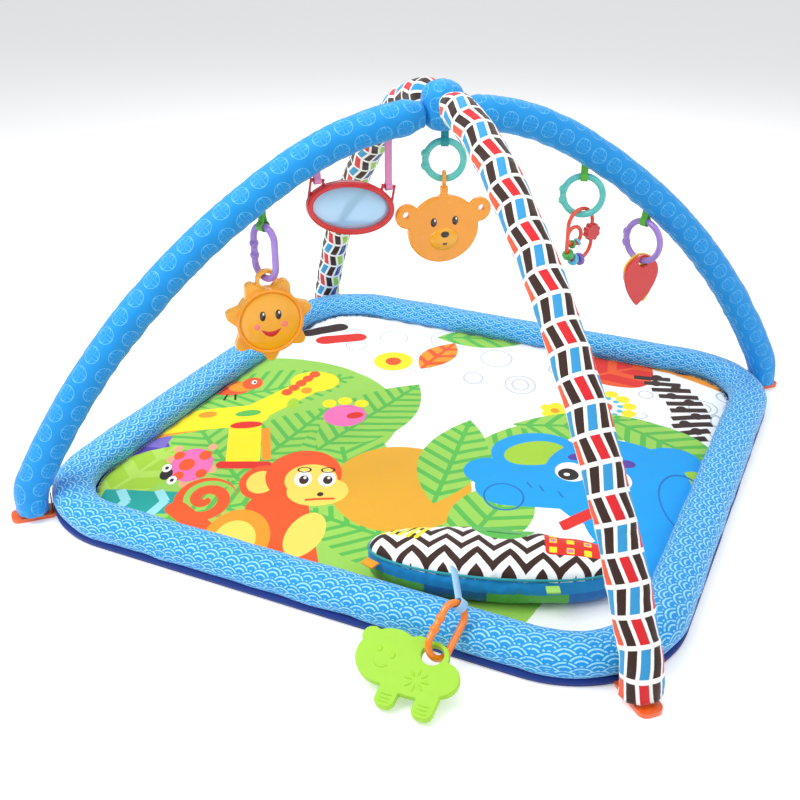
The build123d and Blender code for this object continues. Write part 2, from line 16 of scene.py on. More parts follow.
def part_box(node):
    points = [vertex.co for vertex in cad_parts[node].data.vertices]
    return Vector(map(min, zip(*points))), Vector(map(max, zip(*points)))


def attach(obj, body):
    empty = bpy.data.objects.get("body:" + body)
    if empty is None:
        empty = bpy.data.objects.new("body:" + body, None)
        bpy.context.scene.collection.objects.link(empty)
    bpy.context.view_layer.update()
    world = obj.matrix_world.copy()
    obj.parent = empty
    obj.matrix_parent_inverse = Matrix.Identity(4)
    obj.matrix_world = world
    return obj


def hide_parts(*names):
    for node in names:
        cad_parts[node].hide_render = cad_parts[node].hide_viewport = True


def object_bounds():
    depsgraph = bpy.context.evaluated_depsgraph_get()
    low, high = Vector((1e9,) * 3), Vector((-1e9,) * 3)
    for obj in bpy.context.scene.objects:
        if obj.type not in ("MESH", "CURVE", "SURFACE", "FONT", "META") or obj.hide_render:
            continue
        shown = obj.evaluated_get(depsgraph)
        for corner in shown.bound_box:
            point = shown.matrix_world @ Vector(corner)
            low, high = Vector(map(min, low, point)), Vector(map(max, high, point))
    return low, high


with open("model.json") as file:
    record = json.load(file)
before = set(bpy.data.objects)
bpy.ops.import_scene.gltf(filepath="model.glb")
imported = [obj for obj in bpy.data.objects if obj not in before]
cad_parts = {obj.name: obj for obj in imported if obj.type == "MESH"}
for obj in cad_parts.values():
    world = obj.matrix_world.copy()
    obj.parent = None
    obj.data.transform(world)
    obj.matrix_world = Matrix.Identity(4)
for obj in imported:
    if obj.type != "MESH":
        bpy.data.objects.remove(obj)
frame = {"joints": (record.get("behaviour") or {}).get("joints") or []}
cad_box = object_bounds()
joints = {j["name"]: j for j in frame["joints"]}
MM = 0.001
TURN = 2 * math.pi


def joint_at(name):
    """Where a joint sits, and the direction of its axis."""
    return Vector(joints[name]["pos_m"]), Vector(joints[name]["axis"]).normalized()


# %% [markdown]
# The camera comes first, so that every later step can be judged through it. It looks down
# from the front right. A long lens, 48 mm on a 36 mm sensor, keeps the arches from
# stretching towards the viewer. Soft area lights stand round the mat like studio boxes.

# %% Camera, floor and light
AIM = Vector((-0.0933, 0.0833, 0.0066))
AZIMUTH, ELEVATION, DISTANCE, LENS = math.radians(25.2), math.radians(27.1), 1.5315, 47.73


def direction(azimuth, elevation):
    """Unit vector from the aim point towards a viewer."""
    level = math.cos(elevation)
    return Vector((math.sin(azimuth) * level, -math.cos(azimuth) * level, math.sin(elevation)))


def look_from(obj, place, target):
    obj.location = place
    obj.rotation_euler = (target - place).to_track_quat("-Z", "Y").to_euler()
    bpy.context.scene.collection.objects.link(obj)


camera = bpy.data.objects.new("camera", bpy.data.cameras.new("camera"))
camera.data.lens = LENS
look_from(camera, AIM + DISTANCE * direction(AZIMUTH, ELEVATION), AIM)
bpy.context.scene.camera = camera

for name, azimuth, elevation, distance, size, watts in (
        ("key", -35, 52, 1.9, 1.2, 22), ("fill", 75, 40, 2.0, 1.6, 9),
        ("back", 190, 48, 2.0, 1.5, 11), ("top", 10, 86, 1.9, 1.6, 9)):
    lamp = bpy.data.lights.new(name, "AREA")
    lamp.size = size
    lamp.energy = watts
    look_from(bpy.data.objects.new(name, lamp),
              AIM + distance * direction(math.radians(azimuth), math.radians(elevation)), AIM)

world = bpy.data.worlds.new("studio")
world.use_nodes = True
world.node_tree.nodes["Background"].inputs["Color"].default_value = (0.95, 0.97, 1.0, 1)
world.node_tree.nodes["Background"].inputs["Strength"].default_value = 0.52
bpy.context.scene.world = world
bpy.context.scene.view_settings.view_transform = "Standard"

floor_mesh = bpy.data.meshes.new("floor")
floor_mesh.from_pydata([(-6, -6, 0), (6, -6, 0), (6, 6, 0), (-6, 6, 0)], [], [(0, 1, 2, 3)])
floor = bpy.data.objects.new("floor", floor_mesh)
floor.location.z = cad_box[0].z - 0.0005
bpy.context.scene.collection.objects.link(floor)
floor_paint = bpy.data.materials.new("floor_paint")
floor_paint.use_nodes = True
floor_paint.node_tree.nodes["Principled BSDF"].inputs["Base Color"].default_value = (0.86, 0.86, 0.87, 1)
floor_paint.node_tree.nodes["Principled BSDF"].inputs["Roughness"].default_value = 0.9
floor_paint.node_tree.nodes["Principled BSDF"].inputs["Emission Color"].default_value = (1, 1, 1, 1)
floor_paint.node_tree.nodes["Principled BSDF"].inputs["Emission Strength"].default_value = 0.30
floor_mesh.materials.append(floor_paint)


# %% [markdown]
# Materials are node graphs. Writing each node out by hand takes many lines, so a small
# helper adds a node, feeds its sockets with numbers or with other sockets, and returns its
# result. Everything below is built with it.


# %% A helper for node graphs
class Graph:
    """Adds nodes to a shader or geometry tree, with plain values or sockets as inputs."""

    def __init__(self, tree):
        self.tree = tree

    def add(self, kind, inputs=None, **settings):
        node = self.tree.nodes.new(kind)
        for key, value in settings.items():
            setattr(node, key, value)
        for key, value in (inputs or {}).items():
            self.feed(node.inputs[key], value)
        return node

    def feed(self, socket, value):
        if isinstance(value, bpy.types.NodeSocket):
            self.tree.links.new(value, socket)
        elif value is not None:
            socket.default_value = value

    def math(self, operation, a, b=None, c=None):
        node = self.add("ShaderNodeMath", {0: a, 1: b, 2: c}, operation=operation)
        return node.outputs[0]

    def vector(self, operation, a, b=None, scale=None):
        node = self.add("ShaderNodeVectorMath", {0: a, 1: b}, operation=operation)
        if scale is not None:
            self.feed(node.inputs["Scale"], scale)
        return node.outputs["Value" if operation in ("LENGTH", "DOT_PRODUCT") else "Vector"]

    def split(self, vector):
        return self.add("ShaderNodeSeparateXYZ", {0: vector}).outputs

    def join(self, x, y, z=0.0):
        return self.add("ShaderNodeCombineXYZ", {0: x, 1: y, 2: z}).outputs[0]

    def turn(self, vector, angle):
        node = self.add("ShaderNodeVectorRotate", {"Vector": vector, "Angle": angle},
                        rotation_type="Z_AXIS")
        return node.outputs[0]

    def noise(self, vector, scale, detail=2.0, roughness=0.5):
        node = self.add("ShaderNodeTexNoise", {"Vector": vector, "Scale": scale, "Detail": detail,
                                               "Roughness": roughness})
        return node.outputs[0]

    def mix(self, factor, a, b):
        node = self.add("ShaderNodeMix", {0: factor, 6: a, 7: b}, data_type="RGBA")
        return node.outputs[2]


def new_group(name, inputs, outputs):
    """A shader node group with named sockets. Returns its graph, input sockets and output node."""
    tree = bpy.data.node_groups.new(name, "ShaderNodeTree")
    for label, kind, value in inputs:
        socket = tree.interface.new_socket(label, in_out="INPUT", socket_type="NodeSocket" + kind)
        if value is not None:
            socket.default_value = value
    for label, kind in outputs:
        tree.interface.new_socket(label, in_out="OUTPUT", socket_type="NodeSocket" + kind)
    graph = Graph(tree)
    return graph, graph.add("NodeGroupInput").outputs, graph.add("NodeGroupOutput").inputs


def use_group(graph, name, **inputs):
    node = graph.add("ShaderNodeGroup", node_tree=bpy.data.node_groups[name])
    for label, value in inputs.items():
        graph.feed(node.inputs[label], value)
    return node.outputs


def rgb(red, green, blue):
    """A colour given as it looks on screen, 0 to 255, turned into linear light."""
    linear = [(c / 255 / 12.92 if c <= 10 else ((c / 255 + 0.055) / 1.055) ** 2.4)
              for c in (red, green, blue)]
    return (*linear, 1.0)


# %% [markdown]
# Cloth and plastic both need small uneven detail, or they look like flat paint. Two node
# groups give it. The cloth one makes crossed threads, a nap that shifts the tone at random and a
# shallow crumple, whose hollows are also painted darker and whose ridges are painted lighter, as painted
# shade.
# The plastic one makes the faint orange peel and handling marks of a
# moulded surface. Each material places the group with its own values.

# %% Shared surface groups: cloth and moulded plastic
g, inp, out = new_group("cloth_weave",
                        (("Vector", "Vector", None), ("Thread", "Float", 0.0006), ("Crumple", "Float", 1.0)),
                        (("Height", "Float"), ("Shade", "Float")))
threads = g.vector("SCALE", inp["Vector"], scale=g.math("DIVIDE", TURN, inp["Thread"]))
tx, ty, tz = g.split(threads)
warp = g.math("SINE", g.math("ADD", tx, tz))
weft = g.math("SINE", g.math("SUBTRACT", ty, tz))
grid = g.math("MULTIPLY", g.math("MULTIPLY", warp, weft), 0.00006)
nap = g.noise(inp["Vector"], 420.0, 3.0)
crumple = g.noise(inp["Vector"], 26.0, 3.0, 0.55)
lift = g.math("MULTIPLY", g.math("MULTIPLY", crumple, 0.0022), inp["Crumple"])
g.feed(out["Height"], g.math("ADD", g.math("ADD", grid, g.math("MULTIPLY", nap, 0.00012)), lift))
# Shade mixes random nap tone with painted shade: the crumple noise that lifts the cloth also paints its
# hollows darker and its ridges lighter.
g.feed(out["Shade"], g.math("ADD", 0.9, g.math("MULTIPLY", g.math("ADD", nap, crumple), 0.1)))

g, inp, out = new_group("moulded_skin", (("Vector", "Vector", None), ("Peel", "Float", 1.0)),
                        (("Height", "Float"), ("Shade", "Float"), ("Wear", "Float")))
peel = g.noise(inp["Vector"], 900.0, 2.0)
handled = g.noise(inp["Vector"], 60.0, 4.0, 0.6)
g.feed(out["Height"], g.math("MULTIPLY", g.math("MULTIPLY", peel, 0.00003), inp["Peel"]))
g.feed(out["Shade"], g.math("ADD", 0.95, g.math("MULTIPLY", handled, 0.1)))
g.feed(out["Wear"], g.math("MULTIPLY", handled, 0.14))


def principled(name):
    """A new material with its graph and its Principled shader."""
    material = bpy.data.materials.new(name)
    material.use_nodes = True
    shader = material.node_tree.nodes["Principled BSDF"]
    return material, Graph(material.node_tree), shader


def bump(graph, shader, height, strength=1.0, distance=1.0):
    node = graph.add("ShaderNodeBump", {"Height": height, "Strength": strength, "Distance": distance})
    graph.feed(shader.inputs["Normal"], node.outputs[0])


def object_place(graph):
    return graph.add("ShaderNodeTexCoord").outputs["Object"]


def uv_place(graph):
    return graph.add("ShaderNodeUVMap", uv_map="UVMap").outputs[0]


def finish_cloth(graph, shader, colour, thread=0.0006, crumple=1.0, rough=0.72, sheen=0.25):
    """Gives a printed or dyed cloth its weave, crumple and sheen."""
    weave = use_group(graph, "cloth_weave", Vector=object_place(graph), Thread=thread, Crumple=crumple)
    # The base colour is scaled by the weave's Shade, which holds random nap tone and painted shade in the
    # crumple's hollows.
    shade = graph.vector("SCALE", colour, scale=weave["Shade"])
    graph.feed(shader.inputs["Base Color"], shade)
    graph.feed(shader.inputs["Roughness"], graph.math("MULTIPLY", weave["Shade"], rough))
    shader.inputs["Sheen Weight"].default_value = sheen
    shader.inputs["Sheen Roughness"].default_value = 0.4
    shader.inputs["Specular IOR Level"].default_value = 0.35
    bump(graph, shader, weave["Height"], 0.6)


def solid_colour(graph, colour):
    node = graph.add("ShaderNodeRGB")
    node.outputs[0].default_value = colour
    return node.outputs[0]


def dyed_cloth(name, colour, **finish):
    material, graph, shader = principled(name)
    finish_cloth(graph, shader, solid_colour(graph, colour), **finish)
    return material


def moulded(name, colour, rough=0.18, coat=0.6, subsurface=0.0, peel=1.0, transmission=0.0):
    """Glossy or satin moulded plastic."""
    material, graph, shader = principled(name)
    skin = use_group(graph, "moulded_skin", Vector=object_place(graph), Peel=peel)
    graph.feed(shader.inputs["Base Color"],
               graph.vector("SCALE", solid_colour(graph, colour), scale=skin["Shade"]))
    graph.feed(shader.inputs["Roughness"], graph.math("ADD", rough, skin["Wear"]))
    shader.inputs["Coat Weight"].default_value = coat
    shader.inputs["Coat Roughness"].default_value = 0.08
    shader.inputs["Subsurface Weight"].default_value = subsurface
    shader.inputs["Subsurface Radius"].default_value = (0.004, 0.003, 0.002)
    shader.inputs["Transmission Weight"].default_value = transmission
    bump(graph, shader, skin["Height"])
    return material


AZURE = rgb(10, 146, 222)
PALE_CYAN = rgb(150, 215, 248)
NAVY = rgb(8, 48, 130)
WHITE = rgb(250, 250, 250)
BROWN = rgb(52, 26, 16)

plastics = {
    "sun": moulded("sun_yellow", rgb(255, 176, 18), subsurface=0.1),
    "amber": moulded("cub_amber", rgb(255, 160, 12), subsurface=0.1),
    "purple": moulded("ring_purple", rgb(168, 130, 212), subsurface=0.15),
    "teal": moulded("ring_teal", rgb(92, 200, 190), subsurface=0.2),
    "orange": moulded("ring_orange", rgb(250, 130, 20), subsurface=0.1),
    "orange_red": moulded("wire_orange_red", rgb(236, 66, 28)),
    "tab_orange": moulded("tab_orange", rgb(235, 92, 20)),
    "red": moulded("toy_red", rgb(214, 18, 24)),
    "leaf_red": moulded("leaf_red", rgb(222, 28, 26)),
    "yellow": moulded("leaf_yellow", rgb(252, 196, 20)),
    "green": moulded("bead_green", rgb(60, 170, 70)),
    "sky": moulded("bead_sky", rgb(90, 190, 232)),
    "bead_purple": moulded("bead_purple", rgb(130, 90, 190)),
    "grey": moulded("rod_white", rgb(226, 226, 222), rough=0.4, coat=0.0),
    "silicone": moulded("teether_green", rgb(158, 212, 42), rough=0.42, coat=0.0, subsurface=0.35, peel=4.0),
    "dark": moulded("eye_dark", rgb(48, 22, 12)),
    "white": moulded("eye_white", rgb(248, 248, 246)),
    "pink": moulded("cheek_pink", rgb(255, 128, 120)),
    "steel": moulded("screw_steel", rgb(170, 170, 172), rough=0.25, coat=0.0),
}
cloths = {
    "green": dyed_cloth("webbing_green", rgb(96, 188, 62), thread=0.0009),
    "teal": dyed_cloth("webbing_teal", rgb(40, 150, 160), thread=0.0009),
    "pink": dyed_cloth("webbing_pink", rgb(236, 150, 196), thread=0.0009),
    "orange": dyed_cloth("webbing_orange", rgb(250, 156, 16), thread=0.0009),
    "lime": dyed_cloth("webbing_lime", rgb(158, 214, 96), thread=0.0009),
    "sky": dyed_cloth("webbing_sky", rgb(150, 200, 242), thread=0.0009),
    "dark": dyed_cloth("webbing_dark", rgb(14, 52, 48), thread=0.0009),
    "navy": dyed_cloth("base_navy", NAVY, thread=0.0008),
    "thread": dyed_cloth("thread_pale", rgb(190, 228, 246), thread=0.0003, crumple=0.0),
    "thread_white": dyed_cloth("thread_white", rgb(238, 238, 234), thread=0.0003, crumple=0.0),
    "foam": dyed_cloth("foam_white", rgb(232, 232, 226), thread=0.002),
}
print("plain finishes:", len(plastics) + len(cloths))

# %% [markdown]
# The rim's print is rows of overlapping scales, each with three pale arcs and a dot. A
# rule draws it, so it stays sharp at any distance: at each point, the
# scale in front is the lower of two rows of circles, and the distance from its centre says
# whether the point is on an arc. The sleeve of one arch carries a rosette drawn in dashes,
# and the other carries slanted bricks. All three read the piece's own UV map, in metres.


# %% Three cloth prints as node groups
SCALE_COUNT = 105
g, inp, out = new_group("scale_print", (("Vector", "Vector", None), ("Width", "Float", 0.026)),
                        (("Mask", "Float"),))
u, v, _ = g.split(inp["Vector"])
u = g.math("DIVIDE", u, inp["Width"])
v = g.math("DIVIDE", g.math("MULTIPLY", v, 4.0), inp["Width"])
row = g.math("SUBTRACT", g.math("FLOOR", v), 1.0)
up = g.math("MULTIPLY", g.math("SUBTRACT", v, row), 0.25)
shift = g.math("MULTIPLY", g.math("FLOORED_MODULO", row, 2.0), 0.5)
side = g.math("PINGPONG", g.math("ADD", g.math("ADD", u, shift), 500.0), 0.5)
near = g.vector("LENGTH", g.join(side, up))
far = g.vector("LENGTH", g.join(g.math("SUBTRACT", 0.5, side), g.math("SUBTRACT", up, 0.25)))
in_front = g.math("LESS_THAN", near, 0.5)
radius = g.add("ShaderNodeMix", {0: in_front, 2: far, 3: near}).outputs[0]
arcs = g.math("COMPARE", g.math("FRACT", g.math("MULTIPLY", radius, 6.2)), 0.55, 0.21)
keep = g.math("GREATER_THAN", radius, 0.14)
dot = g.math("LESS_THAN", radius, 0.055)
worn = g.math("GREATER_THAN", g.noise(inp["Vector"], 260.0, 1.0), 0.36)
mask = g.math("MULTIPLY", g.math("MAXIMUM", g.math("MULTIPLY", arcs, keep), dot), worn)
g.feed(out["Mask"], mask)

g, inp, out = new_group("rosette_print", (("Vector", "Vector", None), ("Tile", "Float", 0.027)),
                        (("Mask", "Float"),))
u, v, _ = g.split(g.vector("SCALE", inp["Vector"], scale=g.math("DIVIDE", 1.0, inp["Tile"])))
column = g.math("FLOOR", v)
u = g.math("ADD", u, g.math("MULTIPLY", g.math("FLOORED_MODULO", column, 2.0), 0.5))
cx = g.math("SUBTRACT", g.math("FRACT", g.math("ADD", u, 100.0)), 0.5)
cy = g.math("SUBTRACT", g.math("FRACT", v), 0.5)
angle = g.math("ARCTAN2", cy, cx)
radius = g.vector("LENGTH", g.join(cx, cy))
petal = g.math("MULTIPLY", 0.36, g.math("ABSOLUTE", g.math("COSINE", g.math("MULTIPLY", angle, 2.0))))
ring = g.math("COMPARE", radius, 0.37, 0.014)
lobes = g.math("COMPARE", radius, petal, 0.02)
dashes = g.math("GREATER_THAN", g.math("FRACT", g.math("MULTIPLY", angle, 7.0)), 0.3)
g.feed(out["Mask"], g.math("MULTIPLY", g.math("MAXIMUM", ring, lobes), dashes))

GROUT = rgb(246, 245, 242)
BRICK_ROW, BRICK_COLUMNS, SLEEVE_ROUND = 0.028, 10, 0.1288
even_row = [BROWN, rgb(30, 150, 206), BROWN, rgb(222, 40, 36), BROWN, rgb(150, 206, 40), rgb(34, 62, 150),
            rgb(236, 84, 44), BROWN, rgb(216, 30, 40)]
odd_row = [BROWN, rgb(216, 24, 34), BROWN, rgb(40, 150, 200), BROWN, rgb(34, 62, 150), rgb(150, 206, 40),
           rgb(40, 150, 206), BROWN, rgb(50, 150, 206)]


def colour_steps(graph, factor, colours):
    """A ramp with one flat step for each colour."""
    ramp = graph.add("ShaderNodeValToRGB", {0: factor})
    ramp.color_ramp.interpolation = "CONSTANT"
    steps = ramp.color_ramp.elements
    while len(steps) < len(colours):
        steps.new(0.5)
    for k, colour in enumerate(colours):
        steps[k].position = k / len(colours)
        steps[k].color = colour
    return ramp.outputs[0]


def brick_cloth():
    material, graph, shader = principled("sleeve_bricks")
    u, v, _ = graph.split(uv_place(graph))
    rows = graph.math("DIVIDE", u, BRICK_ROW)
    parity = graph.math("FLOORED_MODULO", graph.math("FLOOR", rows), 2.0)
    along = graph.math("FRACT", rows)
    lean = graph.math("SUBTRACT", graph.math("MULTIPLY", parity, 2.0), 1.0)
    slant = graph.math("MULTIPLY", graph.math("MULTIPLY", graph.math("SUBTRACT", along, 0.5), lean), 0.45)
    columns = graph.math("ADD", graph.math("DIVIDE", v, SLEEVE_ROUND / BRICK_COLUMNS), slant)
    across = graph.math("FRACT", columns)
    place = graph.math("FRACT", graph.math("DIVIDE", graph.math("FLOOR", columns), BRICK_COLUMNS))
    place = graph.math("ADD", place, 0.5 / BRICK_COLUMNS)
    colour = graph.mix(parity, colour_steps(graph, place, even_row), colour_steps(graph, place, odd_row))
    inside = graph.math("MULTIPLY", graph.math("COMPARE", along, 0.5, 0.42),
                        graph.math("COMPARE", across, 0.5, 0.36))
    finish_cloth(graph, shader, graph.mix(inside, GROUT, colour), crumple=1.2)
    return material


def printed_cloth(name, group, ground, ink, finish, **sizes):
    """Cloth of one colour with a print in another."""
    material, graph, shader = principled(name)
    mask = use_group(graph, group, Vector=uv_place(graph), **sizes)["Mask"]
    finish_cloth(graph, shader, graph.mix(mask, ground, ink), **finish)
    return material


brick_sleeve_cloth = brick_cloth()
azure_cloth = printed_cloth("sleeve_azure", "rosette_print", AZURE, rgb(112, 196, 240),
                            {"crumple": 1.2, "rough": 0.6})
print("prints: scales, rosettes and bricks of", BRICK_COLUMNS, "columns")

# %% [markdown]
# Most of the soft pieces are tubes or sheets that follow a rule, so one function turns a
# grid of points into a mesh with a UV map in metres. It can close round either way and cap
# its ends. A second one sweeps a round bar along a path.


# %% Mesh helpers
def add_object(name, mesh, material=None):
    obj = bpy.data.objects.new(name, mesh)
    bpy.context.scene.collection.objects.link(obj)
    if material is not None:
        mesh.materials.append(material)
    return obj


def smooth(mesh, flag=True):
    mesh.polygons.foreach_set("use_smooth", [flag] * len(mesh.polygons))


def outward(mesh):
    """Turns the faces of a closed mesh to point out."""
    bm = bmesh.new()
    bm.from_mesh(mesh)
    bmesh.ops.recalc_face_normals(bm, faces=bm.faces)
    bm.to_mesh(mesh)
    bm.free()


def skin(name, rows, lengths, widths, material, closed=False, tube=True, caps=True):
    """A mesh from rows of points. Rows may close on the first, and each row may be a ring."""
    points = np.array(rows, float)
    count, around = points.shape[:2]
    verts = points.reshape(-1, 3).tolist()
    faces, uvs = [], []
    for i in range(count if closed else count - 1):
        for j in range(around if tube else around - 1):
            a, b = (i + 1) % count, (j + 1) % around
            faces.append((i * around + j, a * around + j, a * around + b, i * around + b))
            uvs += [(lengths[i], widths[j]), (lengths[i + 1], widths[j]),
                    (lengths[i + 1], widths[j + 1]), (lengths[i], widths[j + 1])]
    if tube and caps and not closed:
        for row, edge in ((0, lengths[0]), (count - 1, lengths[-1])):
            middle = len(verts)
            verts.append(points[row].mean(0).tolist())
            for j in range(around):
                b = (j + 1) % around
                faces.append((row * around + j, row * around + b, middle))
                uvs += [(edge, widths[j]), (edge, widths[j + 1]), (edge, widths[j])]
    mesh = bpy.data.meshes.new(name)
    mesh.from_pydata(verts, [], faces)
    layer = mesh.uv_layers.new(name="UVMap")
    layer.data.foreach_set("uv", np.array(uvs, float).ravel())
    smooth(mesh)
    if tube:
        outward(mesh)
    return add_object(name, mesh, material)


def running_length(points, closed=False):
    points = np.array(points, float)
    steps = np.linalg.norm(np.diff(points, axis=0), axis=1)
    if closed:
        steps = np.append(steps, np.linalg.norm(points[0] - points[-1]))
    return np.concatenate([[0.0], np.cumsum(steps)])


def even_points(points, spacing, closed=False):
    """The same path with points at equal steps."""
    points = np.array(points, float)
    if closed:
        points = np.vstack([points, points[:1]])
    total = running_length(points)
    count = max(2, int(round(total[-1] / spacing)))
    stops = np.linspace(0, total[-1], count + 1)
    out = np.column_stack([np.interp(stops, total, points[:, k]) for k in range(3)])
    return out[:-1] if closed else out


def tangents(points, closed=False):
    points = np.array(points, float)
    if closed:
        ahead, behind = np.roll(points, -1, 0), np.roll(points, 1, 0)
    else:
        ahead = np.vstack([points[1:], points[-1:]])
        behind = np.vstack([points[:1], points[:-1]])
    step = ahead - behind
    return step / np.linalg.norm(step, axis=1)[:, None]


def round_wire(name, points, radius, material, closed=True, around=16, normal=(0, 0, 1)):
    """A round bar along a path. Its normal gives a steady direction across the path."""
    along = tangents(points, closed)
    steady = np.array(normal, float)
    rows = []
    for p, t in zip(np.array(points, float), along):
        side = np.cross(t, steady)
        side /= np.linalg.norm(side)
        up = np.cross(side, t)
        rows.append([p + radius * (math.cos(a) * side + math.sin(a) * up)
                     for a in np.arange(around) * TURN / around])
    widths = np.arange(around + 1) * TURN * radius / around
    return skin(name, rows, running_length(points, closed), widths, material, closed=closed)


def bumpy(point, size):
    """Smooth noise from -1 to 1 that changes over the given size."""
    return noise.noise(Vector(point) / size)


def ease(t):
    t = min(max(t, 0.0), 1.0)
    return t * t * (3 - 2 * t)


# %% [markdown]
# Stitches, and the moulded bumps on the snap rings, repeat along a path, so a Geometry
# Nodes tree makes them. It walks a line at a fixed step, sets a small rounded shape at each
# point along the line's direction, makes the copies real and gives them a material. The
# result is then turned into a plain mesh.

# %% Rows of small shapes along a path
row_tree = bpy.data.node_groups.new("row_along_path", "GeometryNodeTree")
for label, kind in (("Path", "Geometry"), ("Step", "Float"), ("Size", "Vector"), ("Finish", "Material")):
    row_tree.interface.new_socket(label, in_out="INPUT", socket_type="NodeSocket" + kind)
row_tree.interface.new_socket("Row", in_out="OUTPUT", socket_type="NodeSocketGeometry")
g = Graph(row_tree)
inp = g.add("NodeGroupInput").outputs
line = g.add("GeometryNodeMeshToCurve", {"Mesh": inp["Path"]}).outputs[0]
spots = g.add("GeometryNodeCurveToPoints", {"Curve": line, "Length": inp["Step"]}, mode="LENGTH")
grain = g.add("GeometryNodeMeshUVSphere", {"Segments": 8, "Rings": 5, "Radius": 1.0}).outputs[0]
copies = g.add("GeometryNodeInstanceOnPoints", {
    "Points": spots.outputs["Points"], "Instance": grain, "Rotation": spots.outputs["Rotation"],
    "Scale": inp["Size"]}).outputs[0]
real = g.add("GeometryNodeRealizeInstances", {"Geometry": copies}).outputs[0]
made = g.add("GeometryNodeSetMaterial", {"Geometry": real, "Material": inp["Finish"]}).outputs[0]
g.feed(g.add("NodeGroupOutput").inputs[0], made)


def row_along(name, points, step, size, material, closed=False):
    """A row of small rounded shapes: size is (width, height, length) of each."""
    mesh = bpy.data.meshes.new(name + "_path")
    edges = [(i, i + 1) for i in range(len(points) - 1)]
    if closed:
        edges.append((len(points) - 1, 0))
    mesh.from_pydata([tuple(p) for p in points], edges, [])
    path = add_object(name + "_path", mesh)
    modifier = path.modifiers.new("row", "NODES")
    modifier.node_group = row_tree
    values = {"Step": step, "Size": [s / 2 for s in size], "Finish": material}
    for item in row_tree.interface.items_tree:
        if item.in_out == "INPUT" and item.name in values:
            modifier[item.identifier] = values[item.name]
    result = bpy.data.meshes.new_from_object(path.evaluated_get(bpy.context.evaluated_depsgraph_get()))
    bpy.data.objects.remove(path)
    result.name = name
    smooth(result)
    return add_object(name, result)


def join_pieces(name, *pieces):
    """One object from several, keeping each one's materials."""
    bm = bmesh.new()
    materials = []
    for piece in pieces:
        offset = len(materials)
        materials += list(piece.data.materials)
        before = len(bm.faces)
        bm.from_mesh(piece.data)
        bm.faces.ensure_lookup_table()
        for face in bm.faces[before:]:
            face.material_index += offset
    mesh = bpy.data.meshes.new(name)
    bm.to_mesh(mesh)
    bm.free()
    for material in materials:
        mesh.materials.append(material)
    for piece in pieces:
        bpy.data.objects.remove(piece)
    return add_object(name, mesh)


print("row tree nodes:", len(row_tree.nodes))

# %% [markdown]
# The play cover carries a picture of generic jungle animals, leaves and flowers. Four
# small mask groups draw it: an oval, a rounded bar, a leaf with veins and a spiral. Each
# shape is a mask over the layer below, in the order a screen printer would lay the inks.
# The whole drawing is turned 25 degrees on the mat, and its numbers are millimetres.

# %% Mask groups for printed shapes
g, inp, out = new_group("oval_mask", (("Vector", "Vector", None), ("Centre", "Vector", None),
                                      ("Turn", "Float", 0.0), ("Stretch", "Vector", None)),
                        (("Mask", "Float"), ("Radius", "Float")))
local = g.turn(g.vector("SUBTRACT", inp["Vector"], inp["Centre"]), inp["Turn"])
radius = g.vector("LENGTH", g.vector("MULTIPLY", local, inp["Stretch"]))
g.feed(out["Mask"], g.math("LESS_THAN", radius, 1.0))
g.feed(out["Radius"], radius)

g, inp, out = new_group("bar_mask", (("Vector", "Vector", None), ("Centre", "Vector", None),
                                     ("Turn", "Float", 0.0), ("Half", "Vector", None),
                                     ("Round", "Float", 0.01)),
                        (("Mask", "Float"),))
local = g.turn(g.vector("SUBTRACT", inp["Vector"], inp["Centre"]), inp["Turn"])
beyond = g.vector("MAXIMUM", g.vector("SUBTRACT", g.vector("ABSOLUTE", local), inp["Half"]), (0, 0, 0))
g.feed(out["Mask"], g.math("LESS_THAN", g.vector("LENGTH", beyond), inp["Round"]))

g, inp, out = new_group("leaf_mask", (("Vector", "Vector", None), ("Centre", "Vector", None),
                                      ("Turn", "Float", 0.0), ("Half length", "Float", 0.1),
                                      ("Half width", "Float", 0.04), ("Vein step", "Float", 0.02)),
                        (("Mask", "Float"), ("Vein", "Float")))
local = g.turn(g.vector("SUBTRACT", inp["Vector"], inp["Centre"]), inp["Turn"])
lx, ly, _ = g.split(local)
reach = g.math("DIVIDE", lx, inp["Half length"])
edge = g.math("MULTIPLY", inp["Half width"], g.math("SUBTRACT", 1.0, g.math("MULTIPLY", reach, reach)))
off_rib = g.math("ABSOLUTE", ly)
g.feed(out["Mask"], g.math("LESS_THAN", off_rib, edge))
slanted = g.math("ADD", g.math("SUBTRACT", lx, g.math("MULTIPLY", off_rib, 0.7)), 10.0)
stripe = g.math("LESS_THAN", g.math("FRACT", g.math("DIVIDE", slanted, inp["Vein step"])), 0.36)
rib = g.math("LESS_THAN", off_rib, 0.003)
g.feed(out["Vein"], g.math("MAXIMUM", stripe, rib))

g, inp, out = new_group("spiral_mask", (("Vector", "Vector", None), ("Centre", "Vector", None),
                                        ("Stretch", "Vector", None), ("Turns", "Float", 1.6)),
                        (("Mask", "Float"),))
local = g.vector("MULTIPLY", g.vector("SUBTRACT", inp["Vector"], inp["Centre"]), inp["Stretch"])
lx, ly, _ = g.split(local)
radius = g.vector("LENGTH", local)
wound = g.math("ADD", g.math("MULTIPLY", radius, inp["Turns"]),
               g.math("DIVIDE", g.math("ARCTAN2", ly, lx), TURN))
arm = g.math("GREATER_THAN", g.math("FRACT", g.math("ADD", wound, 0.72)), 0.34)
g.feed(out["Mask"], g.math("MULTIPLY", arm, g.math("LESS_THAN", radius, 1.0)))


